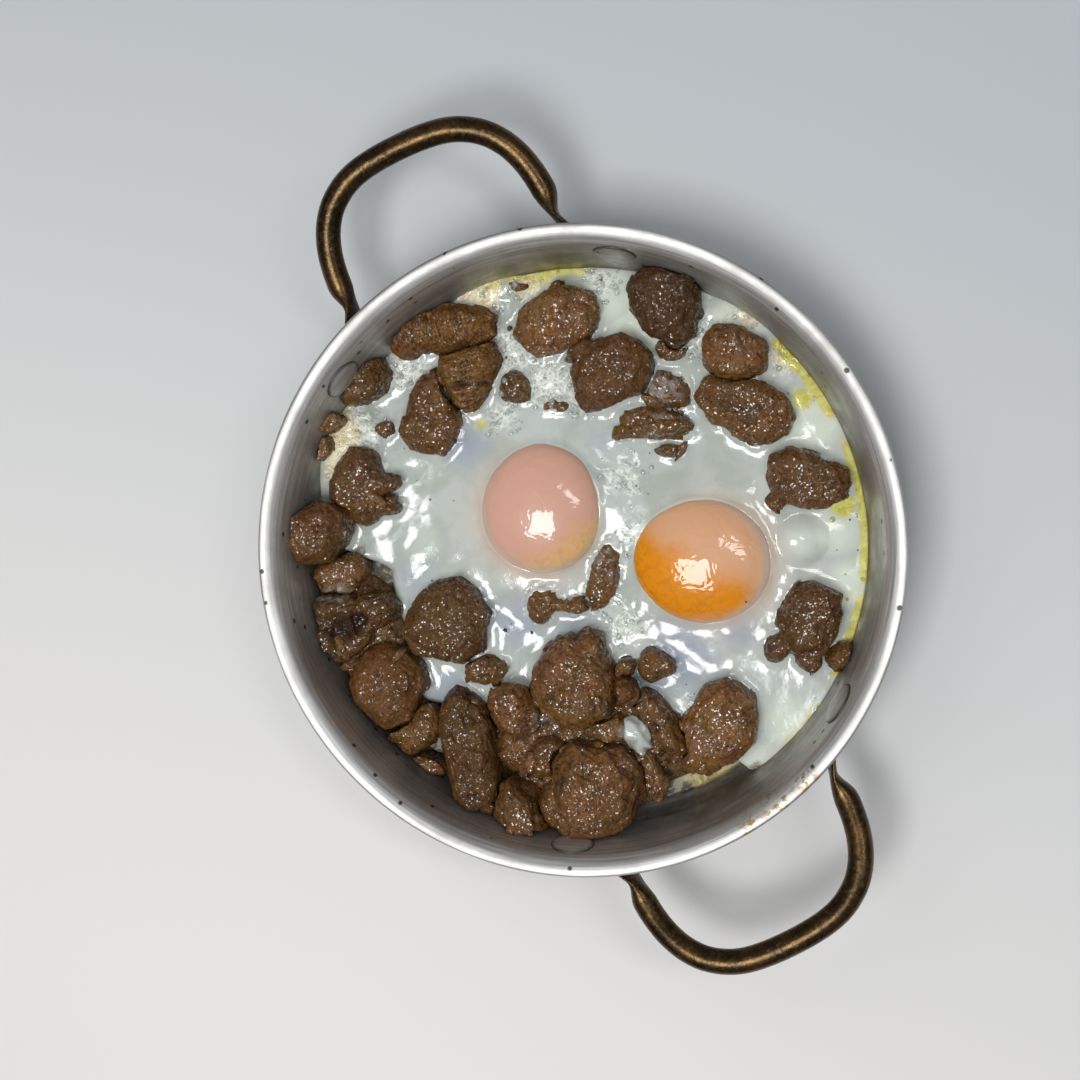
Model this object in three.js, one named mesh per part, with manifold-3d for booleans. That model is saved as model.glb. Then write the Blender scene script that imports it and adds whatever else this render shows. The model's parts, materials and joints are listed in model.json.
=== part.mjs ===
// Eggs with kavurma: two eggs set among pieces of braised meat, in the round two-handled aluminium pan
// that they were cooked in. Millimetres, +Z up. The origin is the centre of the pan's base, and the
// handles lie along Y. Every piece is a closed solid, and pieces that touch keep a gap of 0.3 mm.

import * as THREE from "three";
import { mergeVertices } from "three/addons/utils/BufferGeometryUtils.js";
import Module from "manifold-3d";

const wasm = await Module();
wasm.setup();

const DEG = Math.PI / 180;
const GAP = 0.3;

// ---------------------------------------------------------------- driving dimensions

const pan = {
  rimRadius: 90,
  height: 34,
  wall: 1.5,
  floorRadius: 72,
  cornerRadius: 9,
  lipRadius: 5,
  segments: 52,
};

const rivet = {
  height: 24, // of its centre above the base
  fromHandleAxis: 31 * DEG,
  innerHeadRadius: 6.2,
  innerHeadRise: 1.3,
  shankRadius: 2.4,
  outerHeadRadius: 4.6,
  outerHeadRise: 1.6,
  segments: 10,
};

const handle = {
  rodRadius: 3.5,
  halfWidth: 32, // between the middles of the legs, halved
  legStart: 87, // from the pan's centre, where the bow begins
  reach: 121.4, // from the pan's centre to the middle of the grip
  gripHeight: 33,
  squareness: 2.75, // exponent of the bow's superellipse: 2 is round
  padThickness: 2.2,
  padHeight: 11.5,
  padStart: 25.8 * DEG, // from the handle's axis to where the flattened foot leaves the wall
  padEnd: 38 * DEG, // and to the foot's tip
  padLength: 29, // from the tip to where the rod starts to round, just clear of the rim
  rounding: 9, // length of rod that goes from flat to round
  skew: 3.2 * DEG, // both handles were fixed a little to the +X side
  steps: 30,
  sides: 8,
};

// The food was laid out turned against the handles: its own X axis is this far from the pan's.
const FOOD_TURN = -26.7 * DEG;

const egg = {
  level: 10, // top of the set white over most of the pan
  edgeDrop: 2.2, // it is this much thinner at edgeRadius
  edgeRadius: 80,
  mound: 2.0, // the thick white stands this much higher round a yolk
  moundRadius: 27,
  moundSlope: 7,
  ripple: 0.35,
  reach: 83, // of the white from the pan's centre: past the wall, which cuts it
  bay: 23, // it stops this much short beside the heap, round bayMiddle
  bayMiddle: 240 * DEG,
  bayHalf: 52 * DEG, // from the middle to where the bay's edge begins
  bayEdge: 12 * DEG,
  swells: [
    { x: 62.5, y: 3, radius: 7.5, rise: 2.4 }, // air under the white
    { x: 29.5, y: -41.5, radius: 6, rise: 1.6 },
    { x: -76, y: 31, radius: 17, rise: 6 }, // white set part of the way up the wall
    { x: -30, y: 76, radius: 13, rise: 3.5 },
    { x: 47, y: 67, radius: 12, rise: 3 },
  ],
  segments: 36,
  rings: 6,
};

// Each yolk's middle in the food's layout, and its full size; turn is its length's, in degrees.
const yolks = [
  {
    name: "yolk_left",
    colour: "filmedYolk",
    ...{ x: -12, y: 11.4, middle: 11.6 },
    ...{ length: 37.4, width: 35.4, depth: 15.5, turn: 80 },
  },
  {
    name: "yolk_right",
    colour: "yolk",
    ...{ x: 34.3, y: -3, middle: 11.2 },
    ...{ length: 38.8, width: 36.2, depth: 15, turn: -12 },
  },
];

// The meat, from the top of the heap down: where two pieces meet, the later one gives way to the earlier.
// Each piece is one or more lobes, fused: x, y, length, width, top above the base, turn in degrees, and
// taper, the share by which the +length end is narrower (minus: wider).
const meat = [
  // the heap at the front
  {
    name: "meat_front_large",
    seed: 3,
    lobes: [
      [4.5, -69.5, 28, 29, 25, 0, 0.1],
      [-4, -73, 16, 15, 20, 10, 0],
    ],
  },
  {
    name: "meat_front_tall",
    seed: 8,
    lobes: [
      [-2, -38, 27, 23.5, 23, 75, 0.25],
      [2, -28.5, 11, 10, 19, 10, 0],
    ],
  },
  { name: "meat_front_curl", seed: 13, lobes: [[11, -41, 13, 8, 21, 10, 0]] },
  { name: "meat_front_long", seed: 21, lobes: [[-32.6, -61.5, 40, 16, 22, -76, 0.15]] },
  { name: "meat_front_shoulder", seed: 34, lobes: [[-20, -47.5, 17, 14, 19, -60, 0]] },
  { name: "meat_front_block", seed: 5, lobes: [[-18, -78, 23, 15, 24, -78, -0.1]] },
  { name: "meat_front_middle", seed: 9, lobes: [[-9, -60.5, 14, 13, 18, 0, 0]] },
  { name: "meat_front_core", seed: 14, lobes: [[8, -51.5, 14, 10, 17, 0, 0]] },
  { name: "meat_front_strip", seed: 22, lobes: [[22, -48.5, 25, 9, 18.5, -55, 0]] },
  {
    name: "meat_front_slab",
    seed: 35,
    lobes: [
      [39.3, -49.5, 28, 20, 19, 62, 0.1],
      [34.5, -55, 17, 17, 17, 0, 0],
    ],
  },
  { name: "meat_front_tip", seed: 6, lobes: [[22, -33.5, 11.5, 9, 17, 0, 0.3]] },
  { name: "meat_front_knob", seed: 11, lobes: [[12.3, -33.4, 7.5, 6, 17, 90, 0]] },
  { name: "meat_front_gristle", seed: 17, lobes: [[19, -65, 18, 9.5, 15.5, -65, 0.2]] },
  // the left side
  { name: "meat_left_large", seed: 25, lobes: [[-39.5, -21.8, 26, 23.5, 21, -15, 0]] },
  { name: "meat_left_round", seed: 40, lobes: [[-57.5, -40.5, 24, 22.5, 20, -30, 0]] },
  { name: "meat_left_foot", seed: 7, lobes: [[-50.5, -54.5, 17, 14, 16, 30, 0]] },
  { name: "meat_left_shred", seed: 12, lobes: [[-48.5, -64.5, 16, 6, 12, -15, 0]] },
  {
    name: "meat_left_hollow",
    seed: 18,
    lobes: [
      [-73, -24, 22, 20, 18, 10, 0],
      [-61, -18.5, 15, 10, 18, 12, 0],
    ],
  },
  { name: "meat_left_knot", seed: 27, lobes: [[-79, 4.2, 22, 18.5, 26, 0, 0]] },
  { name: "meat_left_flat", seed: 43, lobes: [[-73.5, -9, 18, 11.5, 14.5, 25, 0]] },
  {
    name: "meat_left_fork",
    seed: 10,
    lobes: [
      [-66.5, 18, 23, 16.5, 18, 80, 0.1],
      [-58.5, 18.5, 10, 6, 16, 5, 0],
      [-59, 12, 11, 5.5, 15, -12, 0],
    ],
  },
  { name: "meat_left_small", seed: 15, lobes: [[-29, -35.5, 12.5, 9.5, 15.5, -15, 0]] },
  // the back
  {
    name: "meat_back_bar",
    seed: 20,
    lobes: [
      [-39.5, 63.5, 33, 13.5, 18.5, 2, 0.25],
      [-51, 61.5, 11, 14, 17, 0, 0],
    ],
  },
  { name: "meat_back_folded", seed: 31, lobes: [[-33.5, 49.5, 20, 17, 18, -95, 0.45]] },
  { name: "meat_back_wide", seed: 46, lobes: [[-44.5, 38.5, 24, 17.5, 16.5, 82, 0.1]] },
  { name: "meat_back_corner", seed: 4, lobes: [[-66.5, 48.5, 20, 14.5, 20, 30, 0]] },
  { name: "meat_back_rough", seed: 16, lobes: [[-7.5, 65.3, 25, 18.5, 17.5, 40, 0]] },
  {
    name: "meat_back_tall",
    seed: 23,
    lobes: [
      [23.6, 70, 21, 20, 22, 10, 0],
      [27.5, 62.5, 12, 9, 18, 90, 0],
    ],
  },
  {
    name: "meat_back_middle",
    seed: 29,
    lobes: [
      [8.2, 50.5, 24, 20, 19.5, 25, 0],
      [-0.6, 57, 9, 8, 16, 0, 0],
    ],
  },
  { name: "meat_back_button", seed: 33, lobes: [[-19.5, 46.3, 10.3, 9.6, 14, 0, 0]] },
  { name: "meat_back_square", seed: 38, lobes: [[42.8, 55.3, 18.5, 16, 17, 0, 0]] },
  { name: "meat_back_broad", seed: 44, lobes: [[46.3, 40.3, 28, 17.5, 17.5, -32, 0]] },
  { name: "meat_back_bead", seed: 51, lobes: [[25.3, 57, 9.5, 7.5, 13.5, 0, 0]] },
  { name: "meat_back_sunk", seed: 53, lobes: [[23.5, 45.5, 14.5, 11, 12.8, -10, 0]] },
  {
    name: "meat_back_row",
    seed: 57,
    lobes: [
      [20.5, 35.8, 24, 9, 13, 0, 0],
      [11.5, 33.3, 8, 5, 12.5, 0, 0],
    ],
  },
  { name: "meat_back_crumb_a", seed: 61, lobes: [[-8, 41, 8.5, 4, 12, 0, 0]] },
  { name: "meat_back_crumb_b", seed: 63, lobes: [[24, 28, 8.5, 4.6, 13, 0, 0]] },
  { name: "meat_back_crumb_c", seed: 65, lobes: [[-20, 75, 9.5, 3.8, 11.5, 8, 0]] },
  { name: "meat_back_crumb_d", seed: 67, lobes: [[-58.8, 34.3, 7, 5.4, 12, 20, 0]] },
  { name: "meat_back_crumb_e", seed: 69, lobes: [[-73.5, 37, 9, 7, 21, 30, 0]] },
  { name: "meat_back_crumb_f", seed: 71, lobes: [[-76, 28.5, 9, 6, 19, 60, 0]] },
  // the right side and the middle
  {
    name: "meat_right_wedge",
    seed: 26,
    lobes: [
      [63.4, 20.3, 23.5, 16.5, 17.5, -8, 0.1],
      [54.5, 14, 8, 7, 14, -45, 0],
    ],
  },
  {
    name: "meat_right_round",
    seed: 37,
    lobes: [
      [64.5, -19, 22, 17.5, 18, 60, 0],
      [56, -27, 10.5, 8, 14, 30, 0],
      [64, -30.5, 9, 8, 14, -50, 0],
    ],
  },
  { name: "meat_right_small", seed: 42, lobes: [[73.3, -30, 10, 7.5, 13.5, 35, 0]] },
  {
    name: "meat_middle_pair",
    seed: 48,
    lobes: [
      [-12.2, -15.8, 11.5, 9.3, 14, 80, 0],
      [-2, -16.3, 8.2, 6, 13.8, 20, 0],
      [-7, -16.5, 7, 3.6, 12.6, 0, 0],
    ],
  },
  { name: "meat_middle_sunk", seed: 55, lobes: [[6.2, -6.8, 23, 9, 13.3, 80, 0.3]] },
];

// A pool of white caught in the heap, cut off from the rest.
const pocket = { name: "egg_white_pocket", seed: 77, lobes: [[16, -53.5, 12, 7.5, 16.8, -60, 0]] };

const chunk = {
  squareness: 2.6, // exponent of a piece's outline: 2 is an ellipse
  lumpiness: 0.17, // how far the waves of its outline reach, as a share of its size
  mostSides: 12,
  // Levels of a piece, each with its width as a share of the widest, and its height as a share of the top.
  levels: [
    [0.88, 0],
    [1, 0.36],
    [0.94, 0.68],
    [0.64, 0.92],
  ],
  smallLevels: [
    [0.9, 0],
    [1, 0.4],
    [0.74, 0.88],
  ],
  smallLength: 10,
};

const colours = {
  aluminium: { color: 0xc9cbcd, roughness: 0.35, metalness: 1 },
  brass: { color: 0x6f5a33, roughness: 0.32, metalness: 1 },
  white: { color: 0xdfe2dc, roughness: 0.25, metalness: 0 },
  yolk: { color: 0xe8952c, roughness: 0.2, metalness: 0 },
  filmedYolk: { color: 0xdf9f86, roughness: 0.25, metalness: 0 },
  meat: { color: 0x6b4630, roughness: 0.45, metalness: 0 },
};

// ---------------------------------------------------------------- solids and meshes

function solidOf(geometry) {
  const bare = geometry.index ? geometry.toNonIndexed() : geometry.clone();
  bare.deleteAttribute("normal");
  bare.deleteAttribute("uv");
  const merged = mergeVertices(bare, 1e-4);
  return new wasm.Manifold(
    new wasm.Mesh({
      numProp: 3,
      vertProperties: merged.attributes.position.array,
      triVerts: new Uint32Array(merged.index.array),
    }),
  );
}

function geometryOf(solid) {
  const made = solid.getMesh();
  const corners = new Float32Array(made.numVert * 3);
  for (let i = 0; i < made.numVert; i++) {
    corners.set(made.vertProperties.subarray(i * made.numProp, i * made.numProp + 3), i * 3);
  }
  const geometry = new THREE.BufferGeometry();
  geometry.setAttribute("position", new THREE.BufferAttribute(corners, 3));
  geometry.setIndex(new THREE.BufferAttribute(made.triVerts, 1));
  geometry.computeVertexNormals();
  return geometry;
}

// The largest body of a solid: a cut can leave loose scraps, and those are dropped.
function largest(solid) {
  return solid.decompose().sort((a, b) => b.volume() - a.volume())[0];
}

// A named mesh whose own origin is at `at`, and whose solid is given in the pan's frame.
function meshOf(name, solid, colour, at = new THREE.Vector3()) {
  const geometry = geometryOf(solid);
  geometry.translate(-at.x, -at.y, -at.z);
  const mesh = new THREE.Mesh(geometry, new THREE.MeshStandardMaterial(colour));
  mesh.name = name;
  mesh.position.copy(at);
  return mesh;
}

// ---------------------------------------------------------------- the pan

const corner = new THREE.Vector2(pan.floorRadius, pan.wall + pan.cornerRadius);
const lip = new THREE.Vector2(pan.rimRadius - pan.wall / 2, pan.height - pan.lipRadius);
const between = lip.clone().sub(corner);
// Minus this angle is how far the straight wall leans out from upright.
const wallNormal = between.angle() - Math.acos((pan.cornerRadius + pan.lipRadius) / between.length());

function arc(centre, radius, from, to, steps) {
  return Array.from({ length: steps + 1 }, (_, i) => {
    const a = from + ((to - from) * i) / steps;
    return new THREE.Vector2(centre.x + radius * Math.cos(a), centre.y + radius * Math.sin(a));
  });
}

// The pan's inner surface from its centre to the top of its lip, moved by d towards the inside.
function innerProfile(d) {
  return [
    new THREE.Vector2(0, pan.wall + d),
    ...arc(corner, pan.cornerRadius - d, -90 * DEG, wallNormal, 2),
    ...arc(lip, pan.lipRadius + d, wallNormal + 180 * DEG, 90 * DEG, 3),
  ];
}

const lathe = (points, segments) => solidOf(new THREE.LatheGeometry(points, segments).rotateX(90 * DEG));

function panBody() {
  const edge = arc(new THREE.Vector2(lip.x, pan.height - pan.wall / 2), pan.wall / 2, 90 * DEG, -90 * DEG, 3);
  const outside = innerProfile(-pan.wall).reverse();
  return lathe([...innerProfile(0), ...edge.slice(1, -1), ...outside].reverse(), pan.segments);
}

// What the food may fill: the inside of the pan, less the gap, up to well above the rim.
function panRoom() {
  const inside = innerProfile(GAP);
  const top = inside.at(-1);
  const roof = 2 * pan.height;
  return lathe([...inside, new THREE.Vector2(top.x, roof), new THREE.Vector2(0, roof)], pan.segments);
}

// The radius of the wall's inner face at a height on its straight stretch.
function wallRadius(height) {
  const low = arc(corner, pan.cornerRadius, wallNormal, wallNormal, 1)[0];
  return low.x + (height - low.y) * Math.tan(-wallNormal);
}

// ---------------------------------------------------------------- rivets

const WALL_CURVE = 0.25; // how far the round wall comes in under the edge of a flat head
const padFrom = pan.wall + GAP + WALL_CURVE;
const padTo = padFrom + handle.padThickness;

// Where a rivet stands: on the wall's inner face, its Z axis along the wall's outward normal.
function rivetPlace(angle) {
  const radius = wallRadius(rivet.height);
  const outward = new THREE.Vector3(
    Math.cos(angle) * Math.cos(wallNormal),
    Math.sin(angle) * Math.cos(wallNormal),
    Math.sin(wallNormal),
  );
  const turn = new THREE.Quaternion().setFromUnitVectors(new THREE.Vector3(0, 0, 1), outward);
  const at = new THREE.Vector3(radius * Math.cos(angle), radius * Math.sin(angle), rivet.height);
  return new THREE.Matrix4().compose(at, turn, new THREE.Vector3(1, 1, 1));
}

// The profile of a low domed head, from its edge to the axis; rise is minus for one that faces down.
function dome(radius, seat, rise) {
  return [90, 50, 0].map((degrees) => {
    const a = degrees * DEG;
    return new THREE.Vector2(radius * Math.sin(a), seat + rise * Math.cos(a));
  });
}

// A rivet in its own frame, with `extra` on all of its faces.
function rivetSolid(extra = 0) {
  const seat = -GAP - WALL_CURVE;
  const far = padTo + GAP + WALL_CURVE;
  const shank = rivet.shankRadius + extra;
  return lathe([
    ...dome(rivet.innerHeadRadius + extra, seat, -rivet.innerHeadRise - extra).reverse(),
    new THREE.Vector2(shank, seat + extra),
    new THREE.Vector2(shank, far - extra),
    ...dome(rivet.outerHeadRadius + extra, far, rivet.outerHeadRise + extra),
  ], rivet.segments);
}

function rivetHole() {
  const radius = rivet.shankRadius + GAP;
  return solidOf(new THREE.CylinderGeometry(radius, radius, 4 * padTo, rivet.segments).rotateX(90 * DEG));
}

// ---------------------------------------------------------------- handles

const smooth = THREE.MathUtils.smoothstep;
const mix = THREE.MathUtils.lerp;

// The middle line of a handle that reaches out along +Y, from one foot's tip to the other's.
function handleLine() {
  const padRadius = wallRadius(rivet.height) + (padFrom + padTo) / 2 / Math.cos(wallNormal);
  const foot = [1, 0.67, 0.33, 0].map((share) => {
    const a = mix(handle.padStart, handle.padEnd, share);
    return new THREE.Vector3(padRadius * Math.sin(a), padRadius * Math.cos(a), rivet.height);
  });
  const bow = [0, 8, 16, 26, 38, 52, 70, 90].map((degrees) => {
    const across = Math.abs(Math.cos(degrees * DEG)) ** (2 / handle.squareness);
    const out = Math.sin(degrees * DEG) ** (2 / handle.squareness);
    return new THREE.Vector3(
      handle.halfWidth * across,
      mix(handle.legStart, handle.reach, out),
      mix(rivet.height, handle.gripHeight, out),
    );
  });
  const half = [...foot, ...bow];
  const mirrored = half.slice(0, -1).reverse().map((p) => new THREE.Vector3(-p.x, p.y, p.z));
  return new THREE.CatmullRomCurve3([...half, ...mirrored], false, "centripetal");
}

// One section of the handle: flat and upright against the wall by a tip, round along the bow.
function handleRing(line, share) {
  const fromTip = Math.min(share, 1 - share) * line.getLength();
  const round = smooth(fromTip, handle.padLength, handle.padLength + handle.rounding);
  const tipShare = Math.min(1, (fromTip + 1) / (handle.padHeight / 2));
  const endRound = Math.sqrt(1 - (1 - tipShare) ** 2);
  const thick = mix(handle.padThickness / 2, handle.rodRadius, round);
  const high = mix(handle.padHeight / 2, handle.rodRadius, round) * endRound;
  const middle = line.getPointAt(share);
  const along = line.getTangentAt(share);
  const outward = new THREE.Vector3(middle.x, middle.y, 0).normalize();
  const up = new THREE.Vector3(0, 0, Math.cos(wallNormal)).addScaledVector(outward, -Math.sin(wallNormal));
  up.lerp(new THREE.Vector3(0, 0, 1), round);
  up.addScaledVector(along, -up.dot(along)).normalize();
  const across = new THREE.Vector3().crossVectors(along, up);
  return Array.from({ length: handle.sides }, (_, j) => {
    const a = (j / handle.sides) * 360 * DEG;
    const raised = middle.clone().addScaledVector(up, high * Math.cos(a));
    return raised.addScaledVector(across, thick * Math.sin(a));
  });
}

// The handle that reaches out along +Y, with its two rivet holes.
function handleSolid() {
  const line = handleLine();
  const rings = Array.from({ length: handle.steps + 1 }, (_, i) => handleRing(line, i / handle.steps));
  const rod = solidOf(skin(rings, [rings[0], rings.at(-1)].map(average)));
  return rivetAnglesRound(90 * DEG).map(holeAt).reduce((left, hole) => left.subtract(hole), rod);
}

const average = (points) =>
  points.reduce((sum, p) => sum.add(p), new THREE.Vector3()).divideScalar(points.length);

// A closed surface over rings of points, with an end point for each cap.
function skin(rings, [start, end]) {
  const corners = [];
  const face = (...points) => points.forEach((p) => corners.push(p.x, p.y, p.z));
  const count = rings[0].length;
  for (let j = 0; j < count; j++) {
    const k = (j + 1) % count;
    face(start, rings[0][k], rings[0][j]);
    face(end, rings.at(-1)[j], rings.at(-1)[k]);
    for (let i = 0; i + 1 < rings.length; i++) {
      face(rings[i][j], rings[i][k], rings[i + 1][k]);
      face(rings[i][j], rings[i + 1][k], rings[i + 1][j]);
    }
  }
  return new THREE.BufferGeometry().setAttribute("position", new THREE.Float32BufferAttribute(corners, 3));
}

// ---------------------------------------------------------------- the food's shapes

// A point of the food's layout, in the pan's frame.
function laid(x, y, z) {
  return new THREE.Vector3(x, y, z).applyAxisAngle(new THREE.Vector3(0, 0, 1), FOOD_TURN);
}

// Low waves round and up a piece, different for each seed: the lumps of torn meat.
function lump(angle, level, seed) {
  const wave = (times, climb) => Math.sin(times * angle + climb * level + seed * (1.7 + times));
  return chunk.lumpiness * (0.41 * wave(2, 1.1) + 0.35 * wave(3, -2.3) + 0.24 * wave(5, 3.1));
}

// A lobe as rings of points, one for each level, with `extra` all round.
function lobeRings([x, y, length, width, top, turn, taper], seed, levels, extra = 0) {
  const sides = Math.min(chunk.mostSides, 2 * Math.round(2.8 + 0.2 * length));
  const floor = pan.wall + GAP;
  const [cos, sin] = [Math.cos(turn * DEG), Math.sin(turn * DEG)];
  const n = chunk.squareness;
  return levels.map(([spread, share]) => Array.from({ length: sides }, (_, j) => {
    const a = (j / sides) * 360 * DEG;
    const outline = (Math.abs(Math.cos(a)) ** n + Math.abs(Math.sin(a)) ** n) ** (-1 / n);
    const size = outline * spread * (1 + lump(a, share, seed));
    const along = Math.cos(a) * (size * (length / 2) + extra);
    const across = Math.sin(a) * (size * (width / 2) * (1 - taper * Math.cos(a)) + extra);
    const rise = share * (1 + share * lump(a + 1, share, seed + 5));
    return laid(x + along * cos - across * sin, y + along * sin + across * cos, mix(floor, top, rise));
  }));
}

function lobeSolid(lobe, seed) {
  const [, , length, , top] = lobe;
  const rings = lobeRings(lobe, seed, length < chunk.smallLength ? chunk.smallLevels : chunk.levels);
  return solidOf(skin(rings, [average(rings[0]), average(rings.at(-1)).setZ(top)]));
}

// The room that a lobe keeps to itself, from below the floor to above the rim, with the gap round it.
function lobeRoom(lobe, seed) {
  const [widest] = lobeRings(lobe, seed, [[1.01, 0.36]], 1.6 * GAP);
  const ends = [-1, 2 * pan.height].map((z) => widest.map((p) => p.clone().setZ(z)));
  return solidOf(skin(ends, ends.map(average)));
}

const fused = (piece, make) => piece.lobes.map((lobe) => make(lobe, piece.seed)).reduce((a, b) => a.add(b));

// A round geometry with its axis along Y, stood up and spread to a yolk's outline.
function yolkSolid(yolk, geometry, extra = 0) {
  geometry.rotateX(90 * DEG).scale(yolk.length / 2 + extra, yolk.width / 2 + extra, 1);
  geometry.rotateZ(yolk.turn * DEG + FOOD_TURN);
  return solidOf(geometry.translate(...laid(yolk.x, yolk.y, yolk.middle)));
}

const YOLK_SIDES = 18;
const yolkBody = (yolk) =>
  yolkSolid(yolk, new THREE.SphereGeometry(1, YOLK_SIDES, 8).scale(1, yolk.depth / 2, 1));
const yolkRoom = (yolk) =>
  yolkSolid(yolk, new THREE.CylinderGeometry(1, 1, 4 * pan.height, YOLK_SIDES), GAP);

// How far the white reaches from the pan's centre: to the wall, but for a bay beside the heap.
function whiteReach(angle) {
  const turned = angle - egg.bayMiddle;
  const away = Math.abs(Math.atan2(Math.sin(turned), Math.cos(turned)));
  const short = egg.bay * (1 - smooth(away, egg.bayHalf, egg.bayHalf + egg.bayEdge));
  return egg.reach - short + egg.ripple * Math.sin(7 * angle + 1);
}

// The white's upper surface, in the food's layout.
function whiteTop(x, y) {
  let z = egg.level - egg.edgeDrop * (Math.hypot(x, y) / egg.edgeRadius) ** 3;
  for (const yolk of yolks) {
    const far = Math.hypot(x - yolk.x, y - yolk.y);
    z += egg.mound * (1 - smooth(far, egg.moundRadius - egg.moundSlope, egg.moundRadius + egg.moundSlope));
  }
  for (const swell of egg.swells) {
    const share = Math.hypot(x - swell.x, y - swell.y) / swell.radius;
    z += swell.rise * Math.max(0, 1 - share ** 2);
  }
  return z + egg.ripple * Math.sin(0.23 * x + 1) * Math.sin(0.19 * y + 2);
}

// The white before the pieces are cut out of it: a wavy disc on the pan's floor.
function whiteSlab() {
  const floor = pan.wall + GAP;
  const ringAt = (share, height) => Array.from({ length: egg.segments }, (_, j) => {
    const a = (j / egg.segments) * 360 * DEG;
    const x = share * whiteReach(a) * Math.cos(a);
    const y = share * whiteReach(a) * Math.sin(a);
    return laid(x, y, height(x, y));
  });
  const top = Array.from({ length: egg.rings }, (_, i) => ringAt(1 - i / egg.rings, whiteTop));
  return solidOf(skin([ringAt(1, () => floor), ...top], [laid(0, 0, floor), laid(0, 0, whiteTop(0, 0))]));
}

// ---------------------------------------------------------------- putting it together

const rivetAnglesRound = (axis) => [axis - rivet.fromHandleAxis, axis + rivet.fromHandleAxis];
const placed = (solid, matrix) => solidOf(geometryOf(solid).applyMatrix4(matrix));
const holeAt = (angle) => placed(rivetHole(), rivetPlace(angle));

const dish = new THREE.Group();
const hardware = new THREE.Group();
const food = new THREE.Group();
dish.add(hardware, food);

const handles = [
  { name: "handle_back", axis: 90 * DEG - handle.skew },
  { name: "handle_front", axis: 270 * DEG + handle.skew },
];
const rivetAngles = handles.flatMap(({ axis }) => rivetAnglesRound(axis));

const drilled = rivetAngles.map(holeAt).reduce((left, hole) => left.subtract(hole), panBody());
hardware.add(meshOf("pan", drilled, colours.aluminium));

for (const { name, axis } of handles) {
  const mesh = meshOf(name, handleSolid(), colours.brass);
  mesh.rotation.z = axis - 90 * DEG;
  hardware.add(mesh);
}

rivetAngles.forEach((angle, i) => {
  const mesh = meshOf(`rivet_${i + 1}`, rivetSolid(), colours.aluminium);
  mesh.applyMatrix4(rivetPlace(angle));
  hardware.add(mesh);
});

// The yolks and the meat take their room first, then the white fills what is left.
const rivetRoom = rivetAngles.map((angle) => placed(rivetSolid(GAP), rivetPlace(angle)));
const room = rivetRoom.reduce((left, head) => left.subtract(head), panRoom());
const taken = [];

// What is left of a solid beside the pan and all that was settled before; `kept` is its own room.
function settle(solid, kept) {
  const box = kept.boundingBox();
  const apart = (other) => [0, 1].some((k) => other.box.min[k] > box.max[k] || other.box.max[k] < box.min[k]);
  const [farX, farY] = [0, 1].map((k) => Math.max(-box.min[k], box.max[k]));
  const nearWall = Math.hypot(farX, farY) > pan.floorRadius;
  const neighbours = taken.filter((other) => !apart(other));
  const start = nearWall ? solid.intersect(room) : solid;
  taken.push({ solid: kept, box });
  return largest(neighbours.reduce((left, other) => left.subtract(other.solid), start));
}

for (const yolk of yolks) {
  const solid = settle(yolkBody(yolk), yolkRoom(yolk));
  food.add(meshOf(yolk.name, solid, colours[yolk.colour], laid(yolk.x, yolk.y, yolk.middle)));
}

for (const piece of [...meat, pocket]) {
  const [x, y] = piece.lobes[0];
  const colour = piece === pocket ? colours.white : colours.meat;
  const solid = settle(fused(piece, lobeSolid), fused(piece, lobeRoom));
  food.add(meshOf(piece.name, solid, colour, laid(x, y, pan.wall)));
}

const white = taken.reduce((left, other) => left.subtract(other.solid), whiteSlab().intersect(room));
food.add(meshOf("egg_white", largest(white), colours.white));

export default dish;
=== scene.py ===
"""Eggs with kavurma in their two-handled pan: the finished look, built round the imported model.

Lengths in the modelling code are millimetres, and a finished mesh is scaled to metres as it is made.
The food was laid out turned against the handles, so places on the food are given in that layout.
"""

import json
import math
import random

import bmesh
import bpy
import numpy as np
from bpy.props import FloatProperty, FloatVectorProperty, IntProperty, PointerProperty
from mathutils import Euler, Matrix, Vector, noise
from mathutils.bvhtree import BVHTree

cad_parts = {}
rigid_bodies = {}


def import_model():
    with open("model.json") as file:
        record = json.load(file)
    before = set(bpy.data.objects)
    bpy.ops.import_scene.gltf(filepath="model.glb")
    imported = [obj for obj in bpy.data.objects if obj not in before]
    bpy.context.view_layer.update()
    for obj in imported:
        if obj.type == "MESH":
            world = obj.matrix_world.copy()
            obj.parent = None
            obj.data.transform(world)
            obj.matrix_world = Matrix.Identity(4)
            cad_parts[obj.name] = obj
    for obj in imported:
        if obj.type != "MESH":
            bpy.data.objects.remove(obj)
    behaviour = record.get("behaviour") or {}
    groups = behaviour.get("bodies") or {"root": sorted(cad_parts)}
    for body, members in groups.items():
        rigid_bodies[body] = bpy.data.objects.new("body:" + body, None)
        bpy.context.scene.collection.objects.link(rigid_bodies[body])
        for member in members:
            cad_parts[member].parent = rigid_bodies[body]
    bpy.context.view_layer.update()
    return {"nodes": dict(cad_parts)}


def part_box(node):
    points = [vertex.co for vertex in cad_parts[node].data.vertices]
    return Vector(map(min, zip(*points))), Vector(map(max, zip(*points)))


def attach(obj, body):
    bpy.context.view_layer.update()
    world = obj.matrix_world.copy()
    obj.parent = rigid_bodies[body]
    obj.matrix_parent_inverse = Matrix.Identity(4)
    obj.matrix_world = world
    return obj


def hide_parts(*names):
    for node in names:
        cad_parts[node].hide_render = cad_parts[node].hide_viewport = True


bl_info = {
    "name": "Eggs with kavurma",
    "version": (1, 0, 0),
    "blender": (4, 5, 0),
    "location": "View3D > Sidebar > Dish",
    "description": "Builds the finished look of eggs with kavurma in a two-handled pan",
    "category": "Object",
}

MM = 0.001
DEG = math.radians(1)

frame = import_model()


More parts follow.
